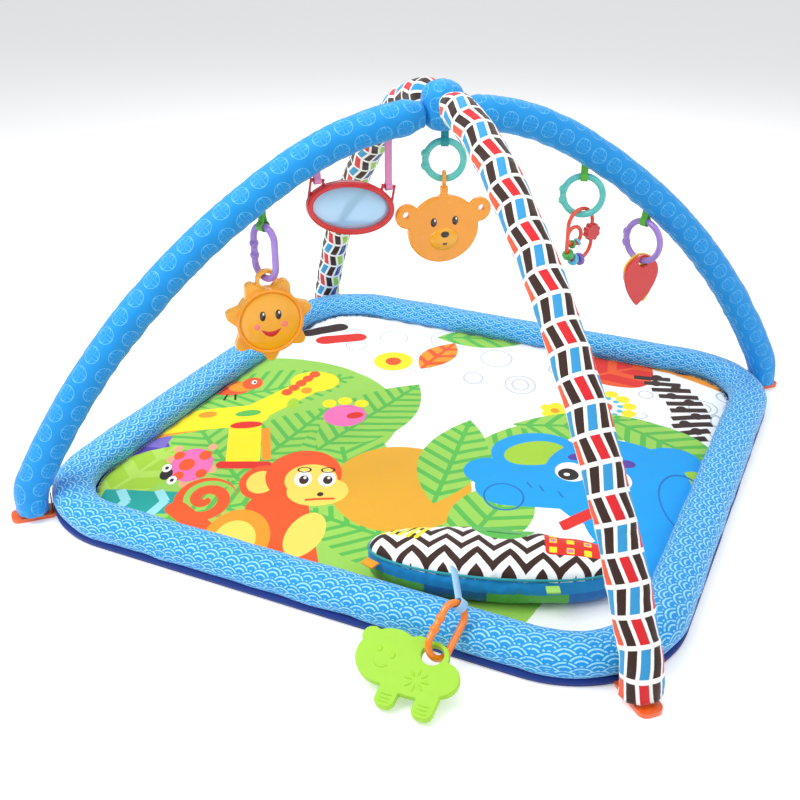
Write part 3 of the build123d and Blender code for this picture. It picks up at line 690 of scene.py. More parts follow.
class Artwork:
    """Lays shapes over a ground colour, one after another. Sizes are in millimetres."""

    def __init__(self, graph, place, ground):
        self.graph, self.place, self.colour = graph, place, ground

    def lay(self, mask, ink):
        self.colour = self.graph.mix(mask, self.colour, ink)

    def oval(self, ink, x, y, rx, ry, turn=0.0):
        out = use_group(self.graph, "oval_mask", Vector=self.place, Centre=(x * MM, y * MM, 0),
                        Turn=-math.radians(turn), Stretch=(1 / (rx * MM), 1 / (ry * MM), 0))
        self.lay(out["Mask"], ink)

    def loop(self, ink, x, y, rx, ry, share=0.12, turn=0.0):
        """A thin oval outline. Its width is a share of its radius."""
        out = use_group(self.graph, "oval_mask", Vector=self.place, Centre=(x * MM, y * MM, 0),
                        Turn=-math.radians(turn), Stretch=(1 / (rx * MM), 1 / (ry * MM), 0))
        self.lay(self.graph.math("COMPARE", out["Radius"], 1.0, share), ink)

    def bar(self, ink, start, end, half, corner=None):
        """A bar between two points. It has square ends and a small corner radius, or round ends."""
        corner = half if corner is None else corner
        (x0, y0), (x1, y1) = start, end
        length = math.hypot(x1 - x0, y1 - y0) / 2
        out = use_group(self.graph, "bar_mask", Vector=self.place,
                        Centre=((x0 + x1) / 2 * MM, (y0 + y1) / 2 * MM, 0),
                        Turn=-math.atan2(y1 - y0, x1 - x0),
                        Half=(length * MM, (half - corner) * MM, 1.0), Round=corner * MM)
        self.lay(out["Mask"], ink)

    def leaf(self, ink, vein_ink, x, y, length, width, turn, step=22.0):
        out = use_group(self.graph, "leaf_mask", Vector=self.place, Centre=(x * MM, y * MM, 0),
                        **{"Turn": -math.radians(turn), "Half length": length * MM,
                           "Half width": width * MM, "Vein step": step * MM})
        self.lay(out["Mask"], self.graph.mix(out["Vein"], ink, vein_ink))

    def spiral(self, ink, x, y, rx, ry, turns=1.6):
        out = use_group(self.graph, "spiral_mask", Vector=self.place, Centre=(x * MM, y * MM, 0),
                        Stretch=(1 / (rx * MM), 1 / (ry * MM), 0), Turns=turns)
        self.lay(out["Mask"], ink)


LEAF_LIGHT, LEAF_DARK = rgb(150, 205, 84), rgb(86, 182, 74)
LIME, TEAL_INK, YELLOW = rgb(160, 204, 50), rgb(18, 160, 150), rgb(255, 226, 20)
ORANGE_RED, ORANGE, RED = rgb(238, 84, 26), rgb(250, 150, 24), rgb(222, 36, 24)
SKY_BLUE, DEEP_BLUE, FACE = rgb(0, 156, 232), rgb(0, 112, 190), rgb(255, 214, 92)
PINK, BLACK, PURPLE, PALE_TEAL = rgb(236, 110, 178), rgb(30, 20, 16), rgb(84, 60, 160), rgb(150, 220, 224)
DOODLE, GOLD = rgb(190, 202, 214), rgb(226, 166, 36)
ART_TURN = 25.0


# %% [markdown]
# The left of the picture: palm leaves, a giraffe, a ladybird, a chick and a monkey with a
# curled tail. Each animal is a handful of ovals and bars.

# %% The animals on the left
def draw_leaves(art):
    art.bar(LEAF_LIGHT, (-420, -60), (-40, -300), 150)
    art.oval(LEAF_LIGHT, -250, 60, 200, 190)
    art.oval(LEAF_LIGHT, -60, -300, 180, 130)
    for x, y, length, width, turn in ((-330, -210, 110, 55, -28), (-205, -20, 120, 60, 62),
                                      (-300, -20, 110, 50, 118), (-240, 140, 130, 62, 20),
                                      (-345, 160, 90, 50, 75), (-120, -60, 130, 60, 100),
                                      (-230, -165, 110, 46, 20), (-90, 60, 120, 55, 55),
                                      (-60, -240, 120, 60, 150)):
        art.leaf(LEAF_LIGHT, LEAF_DARK, x, y, length, width, turn)
    art.oval(PURPLE, -385, -40, 34, 60, 20)
    art.bar(rgb(120, 104, 190), (-392, -10), (-360, -16), 16, 3)
    art.leaf(LIME, rgb(176, 216, 84), -380, -95, 78, 42, 62, 52)
    art.bar(TEAL_INK, (-410, -160), (-320, -165), 24, 3)
    for x in (-392, -345):
        art.bar(PALE_TEAL, (x, -138), (x + 12, -162), 6, 1)
        art.bar(PALE_TEAL, (x + 12, -162), (x, -188), 6, 1)


def draw_giraffe(art):
    art.bar(ORANGE, (-392, 2), (-330, 24), 12)
    art.bar(YELLOW, (-372, 36), (-262, 60), 30)
    art.bar(YELLOW, (-260, 60), (-186, 150), 22)
    art.oval(YELLOW, -176, 168, 36, 34)
    art.bar(YELLOW, (-262, 40), (-252, -64), 22, 8)
    art.bar(ORANGE, (-232, 20), (-222, -60), 6, 3)
    art.bar(RED, (-276, -76), (-222, -76), 9)
    for k in range(5):
        art.oval(ORANGE_RED, -214 + 9 * k, 132 + 15 * k, 8, 11)
    art.oval(ORANGE, -318, 62, 13, 9, 14)
    art.oval(LEAF_DARK, -262, 66, 18, 9, 14)
    art.oval(RED, -260, 32, 22, 10, 10)
    art.oval(LIME, -202, 96, 8, 16)
    art.oval(ORANGE, -186, 138, 8, 10)


def draw_small_creatures(art):
    for x, y in ((-340, -36), (-296, -30), (-288, -88), (-318, -122), (-345, -62)):
        art.oval(rgb(250, 168, 130), x, y, 6, 9)
    art.oval(PINK, -316, -76, 27, 42)
    for x, y, r in ((-322, -76, 10), (-302, -52, 8), (-336, -52, 7), (-300, -98, 7), (-328, -104, 7)):
        art.oval(ORANGE_RED, x, y, r, 1.5 * r)
    art.oval(BLACK, -344, -99, 8, 14)
    for x, y in ((-346, -84), (-334, -114)):
        art.oval(WHITE, x, y, 6, 10)
        art.oval(BLACK, x, y, 2.5, 4)
    art.oval(ORANGE_RED, -296, 146, 28, 24)
    art.oval(ORANGE, -284, 150, 18, 16)
    art.oval(ORANGE_RED, -268, 162, 15, 20)
    art.bar(RED, (-330, 150), (-308, 146), 7)
    art.oval(WHITE, -266, 166, 4, 7)
    art.oval(BLACK, -265, 166, 2, 3.5)
    art.bar(BLACK, (-300, 124), (-302, 108), 1.6)
    art.bar(BLACK, (-288, 124), (-286, 108), 1.6)
    art.oval(PINK, -126, 60, 30, 32)
    art.oval(RED, -112, 60, 12, 9, 20)
    for x, y in ((-150, 96), (-128, 104), (-104, 96)):
        art.oval(YELLOW, x, y, 10, 12)


def draw_monkey(art):
    art.spiral(ORANGE_RED, -285, -158, 38, 50)
    art.bar(ORANGE_RED, (-316, -178), (-272, -226), 14)
    art.bar(ORANGE_RED, (-272, -226), (-230, -230), 14)
    art.bar(ORANGE_RED, (-196, -176), (-176, -290), 38)
    art.oval(ORANGE, -236, -242, 39, 62)
    art.oval(FACE, -238, -246, 25, 42)
    art.oval(FACE, -158, -232, 22, 46, -12)
    art.oval(ORANGE_RED, -220, -118, 29, 40)
    art.oval(FACE, -222, -118, 18, 26)
    art.oval(ORANGE_RED, -170, -100, 48, 62)
    art.oval(FACE, -160, -112, 33, 38)
    art.oval(FACE, -150, -138, 38, 34)
    for x in (-170, -140):
        art.oval(WHITE, x, -110, 11, 18)
        art.oval(BROWN, x + 1, -112, 6, 10)
        art.oval(WHITE, x + 2, -107, 2, 3)
        art.loop(BROWN, x, -88, 8, 6, 0.16)
    art.oval(BROWN, -146, -146, 4, 5)
    art.bar(ORANGE_RED, (-162, -158), (-130, -156), 2.5)
    art.bar(RED, (-196, -304), (-60, -344), 12)
    art.bar(ORANGE, (-120, -316), (-60, -336), 6)


# %% [markdown]
# The right of the picture: a blue elephant in a ring of leaves, a striped tree trunk, and
# flowers with faint outlines on white, as if they wait to be coloured in.

# %% The elephant and the flowers on the right
def draw_flowers(art):
    for x, y, rx, ry, turn in ((307, 125, 10, 12, 0), (375, 84, 24, 24, 0), (375, 84, 15, 16, 0),
                               (419, 116, 10, 15, 20), (361, 5, 9, 16, 25), (128, 157, 22, 30, 0),
                               (128, 157, 12, 18, 0), (286, 60, 9, 8, 0), (388, 46, 7, 16, -15),
                               (338, -50, 7, 14, 20), (100, 250, 24, 30, 0), (30, 320, 30, 34, 0),
                               (-60, 330, 22, 26, 10), (60, 180, 14, 20, 0), (-20, 230, 20, 26, 0),
                               (190, 210, 13, 16, 0), (400, 20, 9, 12, 0), (-120, 300, 16, 20, 0)):
        art.loop(DOODLE, x, y, rx, ry, 1.1 / min(rx, ry), turn)
    for k in range(12):
        t = TURN * k / 12
        x, y = 238 + 38 * math.cos(t), 88 + 44 * math.sin(t)
        art.oval(YELLOW, x, y, 10, 11)
        art.oval(rgb(90, 190, 210), 238 + 25 * math.cos(t), 88 + 29 * math.sin(t), 4.5, 5)
    art.oval(ORANGE_RED, 238, 88, 14, 15)
    for k in range(5):
        t = TURN * k / 5
        art.oval(YELLOW, 169 + 13 * math.cos(t), 75 + 15 * math.sin(t), 9, 10)
    art.oval(ORANGE, 169, 75, 6, 7)
    art.bar(ORANGE, (322, 236), (380, 202), 14)
    art.bar(ORANGE, (372, 206), (428, 146), 15)
    art.leaf(LEAF_LIGHT, LEAF_DARK, 248, 278, 60, 34, 20, 30)
    art.bar(NAVY, (226, 300), (246, 296), 8)
    art.leaf(RED, ORANGE_RED, 280, 205, 62, 60, 24, 46)
    art.leaf(LEAF_LIGHT, LEAF_DARK, 90, 330, 80, 40, 0, 30)
    art.bar(BROWN, (-200, 350), (-150, 372), 14)
    art.bar(RED, (-170, 320), (-120, 330), 16)
    art.oval(YELLOW, -60, 240, 30, 34)
    art.oval(ORANGE_RED, -60, 240, 12, 14)
    art.leaf(ORANGE, ORANGE_RED, 10, 260, 56, 26, 60, 30)


def draw_trunk(art):
    """A curved trunk of dark bands with pale gaps."""
    bend = ((322, 190), (344, 150), (356, 108), (358, 66), (350, 22), (332, -20), (312, -56))
    for k, ((x0, y0), (x1, y1)) in enumerate(zip(bend, bend[1:])):
        for part in (0.25, 0.75):
            x, y = x0 + part * (x1 - x0), y0 + part * (y1 - y0)
            tilt = -0.2 + 0.1 * k
            across = 24 + (k % 2) * 2
            art.bar(BROWN, (x - across, y - tilt * across), (x + across, y + tilt * across), 6.6, 2)
            art.oval(BROWN, x + (8 if part < 0.5 else -9), y + 3, 8, 10)


def draw_elephant(art):
    for x, y, length, width, turn in ((110, -20, 120, 42, 38), (215, 28, 110, 40, -4),
                                      (305, -20, 100, 42, -48), (60, -190, 90, 48, 60),
                                      (20, -60, 110, 44, 75)):
        art.leaf(LEAF_LIGHT, LEAF_DARK, x, y, length, width, turn, 26)
    art.oval(SKY_BLUE, 128, -42, 58, 52, 18)
    art.oval(LIME, 128, -44, 42, 30, 18)
    art.bar(SKY_BLUE, (300, -70), (330, -250), 40)
    art.bar(LIME, (322, -110), (318, -220), 20)
    art.oval(SKY_BLUE, 222, -120, 92, 112)
    art.oval(SKY_BLUE, 245, -205, 78, 92)
    art.bar(SKY_BLUE, (180, -140), (86, -128), 42)
    art.bar(SKY_BLUE, (92, -124), (66, -90), 34)
    art.loop(DEEP_BLUE, 78, -150, 24, 30, 0.05)
    art.loop(DEEP_BLUE, 300, -170, 34, 70, 0.03)
    art.oval(WHITE, 168, -92, 20, 24)
    art.oval(BLACK, 164, -98, 13, 15)
    art.oval(WHITE, 162, -98, 4, 4)
    art.oval(WHITE, 224, -112, 17, 25)
    art.oval(BLACK, 218, -116, 9, 14)
    art.oval(PURPLE, 180, -54, 11, 8, 20)
    art.oval(PURPLE, 242, -72, 12, 10, -10)
    for x, y in ((110, -118), (124, -126), (146, -140)):
        art.bar(DEEP_BLUE, (x, y), (x + 4, y - 12), 1.2)
    art.bar(RED, (142, -214), (184, -182), 9)
    art.bar(WHITE, (132, -204), (136, -226), 5)
    art.oval(SKY_BLUE, 250, -290, 100, 70)


material, graph, shader = principled("play_print")
place = graph.turn(object_place(graph), -math.radians(ART_TURN))
art = Artwork(graph, place, solid_colour(graph, rgb(252, 252, 250)))
draw_flowers(art)
draw_trunk(art)
draw_leaves(art)
art.oval(GOLD, -48, -128, 88, 100)
draw_giraffe(art)
draw_small_creatures(art)
draw_monkey(art)
draw_elephant(art)
finish_cloth(graph, shader, art.colour, thread=0.0007, crumple=1.0, rough=0.7, sheen=0.15)
play_print = material
print("print nodes:", len(material.node_tree.nodes))

# %% [markdown]
# The mat is a real stack: a navy base cloth with a bound edge, a quilted pad with the
# printed cover, and a stuffed rim sewn round it. The rim is the piece that catches the eye.
# A plain torus would look inflated, so the section is a soft square one and the cloth draws
# in along both seams, with puckers of uneven length.


# %% The mat's path and its rim
base_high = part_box("base_sheet")[1]
MAT_HALF = base_high.x
MAT_CORNER = 0.135
RIM_WIDTH, RIM_HEIGHT = 0.052, 0.036
RIM_MIDDLE = base_high.z + RIM_HEIGHT / 2
rim_line = MAT_HALF - RIM_WIDTH / 2


def rounded_square(half, corner, height, spacing):
    """Evenly spaced points round a square with round corners, anticlockwise from the front."""
    flat = half - corner
    points = []
    for quarter in range(4):
        start = -TURN / 4 + quarter * TURN / 4
        turned = Matrix.Rotation(quarter * TURN / 4, 3, "Z")
        points.append(turned @ Vector((-flat, -half, height)))
        centre = turned @ Vector((flat, -flat, height))
        for k in range(25):
            a = start + k / 24 * TURN / 4
            points.append(centre + Vector((corner * math.cos(a), corner * math.sin(a), 0)))
    return even_points(points, spacing, closed=True)


def rim_offset(along, angle):
    """How far the rim's cloth stands off its plain section, in metres."""
    inner = math.exp(-((math.cos(angle) + 0.86) / 0.22) ** 2) * (0.4 + 0.6 * (math.sin(angle) < 0.35))
    outer = math.exp(-((angle - TURN * 0.93) / 0.5) ** 2)
    wave = math.sin(along / 0.0105 + 2.4 * bumpy((along, 0, 3), 0.05))
    gather = 0.0009 * wave * (0.6 + bumpy((along, 7, 0), 0.03)) * (inner + 0.8 * outer)
    swell = 0.0012 * bumpy((along, angle * 0.02, 0), 0.06)
    return gather + swell - 0.0012 * inner


rim_path = rounded_square(rim_line, MAT_CORNER - RIM_WIDTH / 2, RIM_MIDDLE, 0.0034)
rim_tangent = tangents(rim_path, closed=True)
rim_lengths = running_length(rim_path, closed=True)
AROUND = 44
rows = []
for p, t, s in zip(rim_path, rim_tangent, rim_lengths):
    out_dir = np.array((t[1], -t[0], 0))
    row = []
    for k in range(AROUND):
        a = TURN * k / AROUND
        c, d = math.cos(a), math.sin(a)
        grow = 1 + rim_offset(s, a) / 0.022
        square = (abs(c) ** 2.3 + abs(d) ** 2.3) ** (-1 / 2.3)
        lift = RIM_HEIGHT / 2 * d * square * grow
        lift = np.array((0, 0, max(lift, -RIM_HEIGHT / 2)))
        row.append(p + out_dir * (RIM_WIDTH / 2 * c * square * grow) + lift)
    rows.append(row)
SECTION_ROUND = 0.140      # the cloth needed round the rim
scale_width = rim_lengths[-1] / SCALE_COUNT
wave_cloth = printed_cloth("rim_scales", "scale_print", AZURE, PALE_CYAN,
                           {"crumple": 1.4, "rough": 0.6, "sheen": 0.3}, Width=scale_width)
rim = skin("rim_cover", rows, rim_lengths, np.arange(AROUND + 1) * SECTION_ROUND / AROUND, wave_cloth,
           closed=True)
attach(rim, "mat")
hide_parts("rim_front", "rim_right", "rim_rear", "rim_left", "rim_wadding")
print("rim length", round(rim_lengths[-1], 3), "scale width", round(scale_width, 4))

# %% The base cloth and its bound edge
base_edge = rounded_square(MAT_HALF - 0.002, MAT_CORNER - 0.002, 0.0008, 0.006)
rings = [base_edge * np.array((f, f, 1)) for f in (1.0, 0.97, 0.8, 0.6, 0.4, 0.2, 0.02)]
base = skin("base_cloth", rings, np.linspace(0, MAT_HALF, len(rings)), np.arange(len(base_edge) + 1) * 0.006,
            cloths["navy"], tube=True, caps=False)
if base.data.polygons[0].normal.z < 0:
    base.data.flip_normals()
thick = base.modifiers.new("thick", "SOLIDIFY")
thick.thickness = 0.0012
thick.offset = 0.0
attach(base, "mat")
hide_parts("base_sheet")
side = 2 * MAT_HALF

edge_path = rounded_square(MAT_HALF - 0.0045, MAT_CORNER - 0.0045, 0.0045, 0.005)
rows = []
edge_lengths = running_length(edge_path, closed=True)
for p, t, s in zip(edge_path, tangents(edge_path, closed=True), edge_lengths):
    out_dir = np.array((t[1], -t[0], 0))
    ripple = 0.0006 * bumpy((s, 1, 1), 0.03)
    rows.append([p + out_dir * ((0.0042 + ripple) * math.cos(a)) + np.array((0, 0, 0.0040 * math.sin(a)))
                 for a in np.arange(14) * TURN / 14])
binding = skin("rim_binding", rows, edge_lengths, np.arange(15) * 0.0016, cloths["navy"], closed=True)
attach(binding, "mat")


# %% [markdown]
# The quilted pad is a fine grid whose height rises and falls over a hand's width, dips at
# the seam with the rim, and is given its thickness by Solidify. The grid's corners lie
# inside the rim, so nobody sees them.

# %% The quilted pad with its print
PAD_HALF, PAD_STEP, PAD_TOP, PAD_DEEP = 0.343, 0.005, 0.0104, 0.0062
INNER_EDGE = rim_line - RIM_WIDTH / 2


def pad_height(x, y):
    to_rim = INNER_EDGE + 0.004 - max(abs(x), abs(y))
    seam = math.exp(-max(to_rim, 0) / 0.010)
    swell = 0.0011 * bumpy((x, y, 0), 0.07) + 0.0005 * bumpy((x, y, 5), 0.025)
    pull = 0.0008 * seam * math.sin((x + y) / 0.006)
    return PAD_TOP + swell * (1 - seam) - 0.0022 * seam + pull


count = int(round(2 * PAD_HALF / PAD_STEP)) + 1
line = np.linspace(-PAD_HALF, PAD_HALF, count)
grid = [[(x, y, pad_height(x, y)) for x in line] for y in line]
pad = skin("play_pad", grid, line, line, play_print, tube=False)
bm = bmesh.new()
bm.from_mesh(pad.data)
cut = [v for v in bm.verts if min(abs(v.co.x), abs(v.co.y)) > 0.25
       and math.hypot(abs(v.co.x) - 0.25, abs(v.co.y) - 0.25) > PAD_HALF - 0.25]
bmesh.ops.delete(bm, geom=cut, context="VERTS")
bmesh.ops.recalc_face_normals(bm, faces=bm.faces)
bm.to_mesh(pad.data)
bm.free()
if pad.data.polygons[0].normal.z < 0:
    pad.data.flip_normals()
depth = pad.modifiers.new("depth", "SOLIDIFY")
depth.thickness = PAD_DEEP
depth.offset = -1.0
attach(pad, "mat")
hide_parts("play_cover", "mat_wadding")

seam_line = rounded_square(INNER_EDGE + 0.0005, 0.085, PAD_TOP + 0.0006, 0.004)
stitches = row_along("rim_stitches", seam_line, 0.0052, (0.0008, 0.0008, 0.0034), cloths["thread"],
                     closed=True)
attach(stitches, "mat")
print("pad faces", len(pad.data.polygons), "stitch faces", len(stitches.data.polygons))

# %% [markdown]
# The corners have short orange tabs under the arch feet, and dark webbing that ties each
# foot down. Both copy the plain blocks of the CAD model, with rounded edges. One function
# does this for every piece that keeps its CAD shape.


# %% Softened copies of plain blocks
def soft_copy(name, nodes, material, body, edge=0.0006, voxel=None, rounds=2):
    """A copy of one or more CAD nodes with softened edges, ready to take their place."""
    bm = bmesh.new()
    for node in nodes:
        source = bpy.data.objects[node]
        part = source.data.copy()
        part.transform(source.matrix_world)
        bm.from_mesh(part)
        bpy.data.meshes.remove(part)
    bmesh.ops.remove_doubles(bm, verts=bm.verts, dist=1e-5)
    mesh = bpy.data.meshes.new(name)
    bm.to_mesh(mesh)
    bm.free()
    obj = add_object(name, mesh)
    if voxel:
        cells = obj.modifiers.new("cells", "REMESH")
        cells.mode = "VOXEL"
        cells.voxel_size = voxel
        calm = obj.modifiers.new("calm", "SMOOTH")
        calm.factor = 0.5
        calm.iterations = rounds
    else:
        round_off = obj.modifiers.new("round", "BEVEL")
        round_off.width = edge
        round_off.segments = 2
        round_off.limit_method = "ANGLE"
    result = bpy.data.meshes.new_from_object(obj.evaluated_get(bpy.context.evaluated_depsgraph_get()))
    bpy.data.objects.remove(obj)
    result.name = name
    result.materials.clear()
    result.materials.append(material)
    smooth(result)
    made = add_object(name, result)
    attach(made, body)
    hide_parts(*nodes)
    return made


tabs = soft_copy("corner_webbing", ["corner_tabs"], plastics["tab_orange"], "mat", edge=0.0008)
ties = soft_copy("corner_straps", ["corner_ties"], cloths["dark"], "mat", edge=0.0005)

# %% [markdown]
# Each arch is a rod in foam inside a sleeve sewn from two long halves. Its line is a crown
# of one radius with a tighter bend towards each foot, and legs that lean in. The sleeve
# thins where the arches cross, wrinkles across its length on the inside of the bend, and
# ends in a hem drawn a little oval over the plastic foot.

# %% The line of an arch
SPAN, CROSS_GAP = 0.519, 0.026
LEG_UPRIGHT, LEG_BEND = 0.020, 0.060
LEG_LEAN, CROWN_TURN = math.radians(62), math.radians(30)
FOOT_END, SLEEVE_RADIUS, CROSS_RADIUS, CROSS_TAPER = 0.0096, 0.0205, 0.0150, 0.046


def arch_line(rise):
    """Points of one arch from its crown down to a foot, as (distance out, height)."""
    steep = TURN / 4 - LEG_LEAN
    bend_out = LEG_BEND * (1 - math.cos(steep))
    bend_up = LEG_BEND * math.sin(steep)
    lean, crown = LEG_LEAN, CROWN_TURN
    width, drop = SPAN - bend_out, rise - LEG_UPRIGHT - bend_up
    # The crown arc and the shoulder arc meet at the crown's turn, and together reach the bend.
    a1, b1 = math.sin(crown), 1 - math.cos(crown)
    a2, b2 = math.sin(lean) - math.sin(crown), math.cos(crown) - math.cos(lean)
    det = a1 * b2 - a2 * b1
    big = (width * b2 - a2 * drop) / det
    small = (a1 * drop - b1 * width) / det
    points = []
    for k in range(40):
        t = crown * k / 40
        points.append((big * math.sin(t), rise - big * (1 - math.cos(t))))
    for k in range(60):
        t = crown + (lean - crown) * k / 60
        points.append((big * a1 + small * (math.sin(t) - a1),
                       rise - big * b1 - small * (math.cos(crown) - math.cos(t))))
    for k in range(16):
        t = lean + (TURN / 4 - lean) * k / 15
        points.append((width + LEG_BEND * (math.sin(t) - math.sin(lean)),
                       LEG_UPRIGHT + LEG_BEND * math.cos(t)))
    points.append((SPAN, FOOT_END))
    return points, (big, small)


def half_arch(rise, spacing=0.003):
    """One half of an arch from beside the crossing to its foot, evenly spaced."""
    flat, radii = arch_line(rise)
    flat = [(x, 0.0, z) for x, z in flat if x > CROSS_GAP]
    first = np.interp(CROSS_GAP, [0.0, flat[0][0]], [rise, flat[0][2]])
    return even_points([(CROSS_GAP, 0.0, first)] + flat, spacing), radii


# %% The four sleeves
SLEEVE_AROUND = 42


def sleeve_rows(path, seed):
    """Rings round a half arch. Angle 0 points away from the mat and half a turn faces it."""
    lengths = running_length(path)
    along = tangents(path)
    end = lengths[-1]
    rows = []
    for p, t, s in zip(path, along, lengths):
        away = np.array((-t[2], 0.0, t[0]))
        radius = CROSS_RADIUS + (SLEEVE_RADIUS - CROSS_RADIUS) * ease(s / (CROSS_TAPER - CROSS_GAP))
        hem = ease((s - end + 0.034) / 0.034)
        row = []
        for k in range(SLEEVE_AROUND):
            a = TURN * k / SLEEVE_AROUND
            inside = max(0.0, -math.cos(a)) ** 1.5
            fold = math.sin(s / 0.0052 + 3.0 * bumpy((s, seed, a * 0.01), 0.04) + a)
            bump_up = 0.0010 * bumpy((s, 0.03 * math.cos(a), seed + 0.03 * math.sin(a)), 0.03)
            bump_up += 0.0006 * fold * (0.25 + inside) * (0.4 + 0.6 * abs(bumpy((s, seed, 1), 0.07)))
            bump_up += 0.0005 * bumpy((s * 3, 0.02 * math.cos(a), seed + 2), 0.02)
            seam = math.exp(-((a - TURN * 0.56) / 0.05) ** 2)
            r = radius + bump_up + 0.0007 * seam
            r += 0.0006 * hem * math.sin(9 * a + seed)
            in_plane = r * math.cos(a) * (1 - 0.10 * hem)
            across = r * math.sin(a) * (1 + 0.08 * hem)
            row.append(p + away * in_plane + np.array((0.0, across, 0.0)))
        rows.append(row)
    return rows, lengths


def dress_arch(title, rise, heading, cloth, body, nodes):
    made = []
    for side, node in zip((0, 180), nodes):
        path, radii = half_arch(rise)
        rows, lengths = sleeve_rows(path, seed=len(title) + side)
        rest = rows[-1]
        middle = np.mean(rest, axis=0)
        for shrink, lift in ((0.93, 0.0002), (0.80, 0.0010), (0.5, 0.0020)):
            rows.append([middle + (np.array(q) - middle) * (shrink, shrink, 1) + (0, 0, lift) for q in rest])
            lengths = np.append(lengths, lengths[-1] + 0.0015)
        widths = np.arange(SLEEVE_AROUND + 1) * SLEEVE_ROUND / SLEEVE_AROUND
        sleeve = skin(f"{title}_cover_{side}", rows, lengths, widths, cloth)
        sleeve.data.transform(Matrix.Rotation(math.radians(heading + side), 4, "Z"))
        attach(sleeve, body)
        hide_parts(node)
        seam = [r[int(0.56 * SLEEVE_AROUND)] for r in rows[4:-4]]
        thread = row_along(f"{title}_seam_{side}", seam, 0.0048, (0.0007, 0.0007, 0.0030), cloths["thread"])
        thread.data.transform(Matrix.Rotation(math.radians(heading + side), 4, "Z"))
        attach(thread, body)
        made.append(sleeve)
    print(title, "arch radii", [round(r, 4) for r in radii], "half length", round(lengths[-1], 4))
    return made


BLUE_RISE, BRICK_RISE = 0.441, 0.455
dress_arch("blue", BLUE_RISE, 45, azure_cloth, "blue_arch",
           ("blue_sleeve_right", "blue_sleeve_left"))
dress_arch("brick", BRICK_RISE, -45, brick_sleeve_cloth, "brick_arch",
           ("brick_sleeve_right", "brick_sleeve_left"))

# %% [markdown]
# A cloth wrap holds the arches together at the crossing. It is a short sleeve drawn in at
# the top and the bottom, so its folds run up and down and fan out at the ends.

# %% The wrap at the crossing
wrap_low, wrap_high = (corner.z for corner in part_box("apex_wrap"))
WRAP_RADIUS = 0.0248
wrap_rows, wrap_lengths = [], []
for i in range(31):
    t = i / 30
    z = wrap_low + 0.0005 + (wrap_high - wrap_low - 0.001) * t
    shape = (1 - abs(2 * t - 1) ** 3.2) ** 0.5 if 0 < t < 1 else 0.0
    radius = max(WRAP_RADIUS * shape, 0.004)
    row = []
    for k in range(56):
        a = TURN * k / 56
        gather = 0.0008 * math.sin(11 * a + 2.5 * t) * (0.5 + 1.2 * abs(2 * t - 1))
        lump = 0.0013 * bumpy((math.cos(a) * 0.03, math.sin(a) * 0.03, z), 0.022)
        r = radius + (gather + lump) * shape
        row.append((r * math.cos(a), r * math.sin(a), z))
    wrap_rows.append(row)
    wrap_lengths.append(0.07 * t)
wrap = skin("crossing_wrap", wrap_rows, wrap_lengths, np.arange(57) * 0.155 / 56, azure_cloth)
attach(wrap, "blue_arch")
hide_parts("apex_wrap")
print("wrap", round((wrap_high - wrap_low) * 1000), "mm high")

# %% [markdown]
# Every hanging toy is on a webbing loop. The ribbon goes down from the sleeve's seam, round
# the ring's wire and back up, and its two layers meet above the ring. It is drawn as a path
# in the plane across the wire, widened along the wire, and given its thickness by Solidify.


# %% Webbing loops
def loop_path(eye, bore, top):
    """The ribbon's line as (sideways, height) from its top, round the wire, to its top again."""
    start = math.radians(62)
    line = [(0.0010, top), (0.0010, eye + 2.1 * bore)]
    for k in range(19):
        a = start - (TURN / 2 + 2 * start) * k / 18
        line.append((bore * math.cos(a), eye + bore * math.sin(a)))
    line += [(-0.0010, eye + 2.1 * bore), (-0.0010, top)]
    return even_points([(0.0, y, z) for y, z in line], 0.0012)


def webbing_loop(name, node, centre, heading, bore, width, top, material, body):
    """A ribbon loop round a wire at a point. Its width runs along the heading."""
    line = loop_path(0.0, bore + 0.0008, top - centre.z)
    lengths = running_length(line)
    turned = Matrix.Rotation(math.radians(heading), 3, "Z")
    rows = []
    for q in line:
        sway = 0.0004 * bumpy((q[1], q[2], width), 0.01)
        rows.append([centre + turned @ Vector((x, q[1] + sway, q[2]))
                     for x in np.linspace(-width / 2, width / 2, 7)])
    ribbon = skin(name, rows, lengths, np.linspace(0, width, 7), material, tube=False)
    body_thick = ribbon.modifiers.new("webbing", "SOLIDIFY")
    body_thick.thickness = 0.0011
    body_thick.offset = 0.0
    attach(ribbon, body)
    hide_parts(node)
    print(name, "webbing length", round(lengths[-1], 4))
    return ribbon


for toy, heading, colour in (("sun", -61, "green"), ("rattle", -30, "green"), ("leaf", -68, "green"),
                             ("centre", -20, "teal")):
    eye = joint_at(toy + "_link_swing")[0]
    webbing_loop(toy + "_webbing", "strap_" + toy, eye, heading + 45, 0.0054, 0.009,
                 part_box("strap_" + toy)[1].z, cloths[colour], "blue_arch")
for side in ("left", "right"):
    low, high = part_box("strap_mirror_" + side)
    eye = (low + high) / 2
    eye.z = low.z + 0.0046
    webbing_loop("mirror_webbing_" + side, "strap_mirror_" + side, eye, 45, 0.0034, 0.008,
                 high.z, cloths["pink"], "blue_arch")

# %% [markdown]
# The snap rings are moulded in one piece with a thick knuckle where they open. Remeshing
# the CAD rings at a fine voxel and smoothing them a little melts the knuckles into the
# wire, as a mould does. On three of them a row of small raised bumps on each side gives
# the grip.


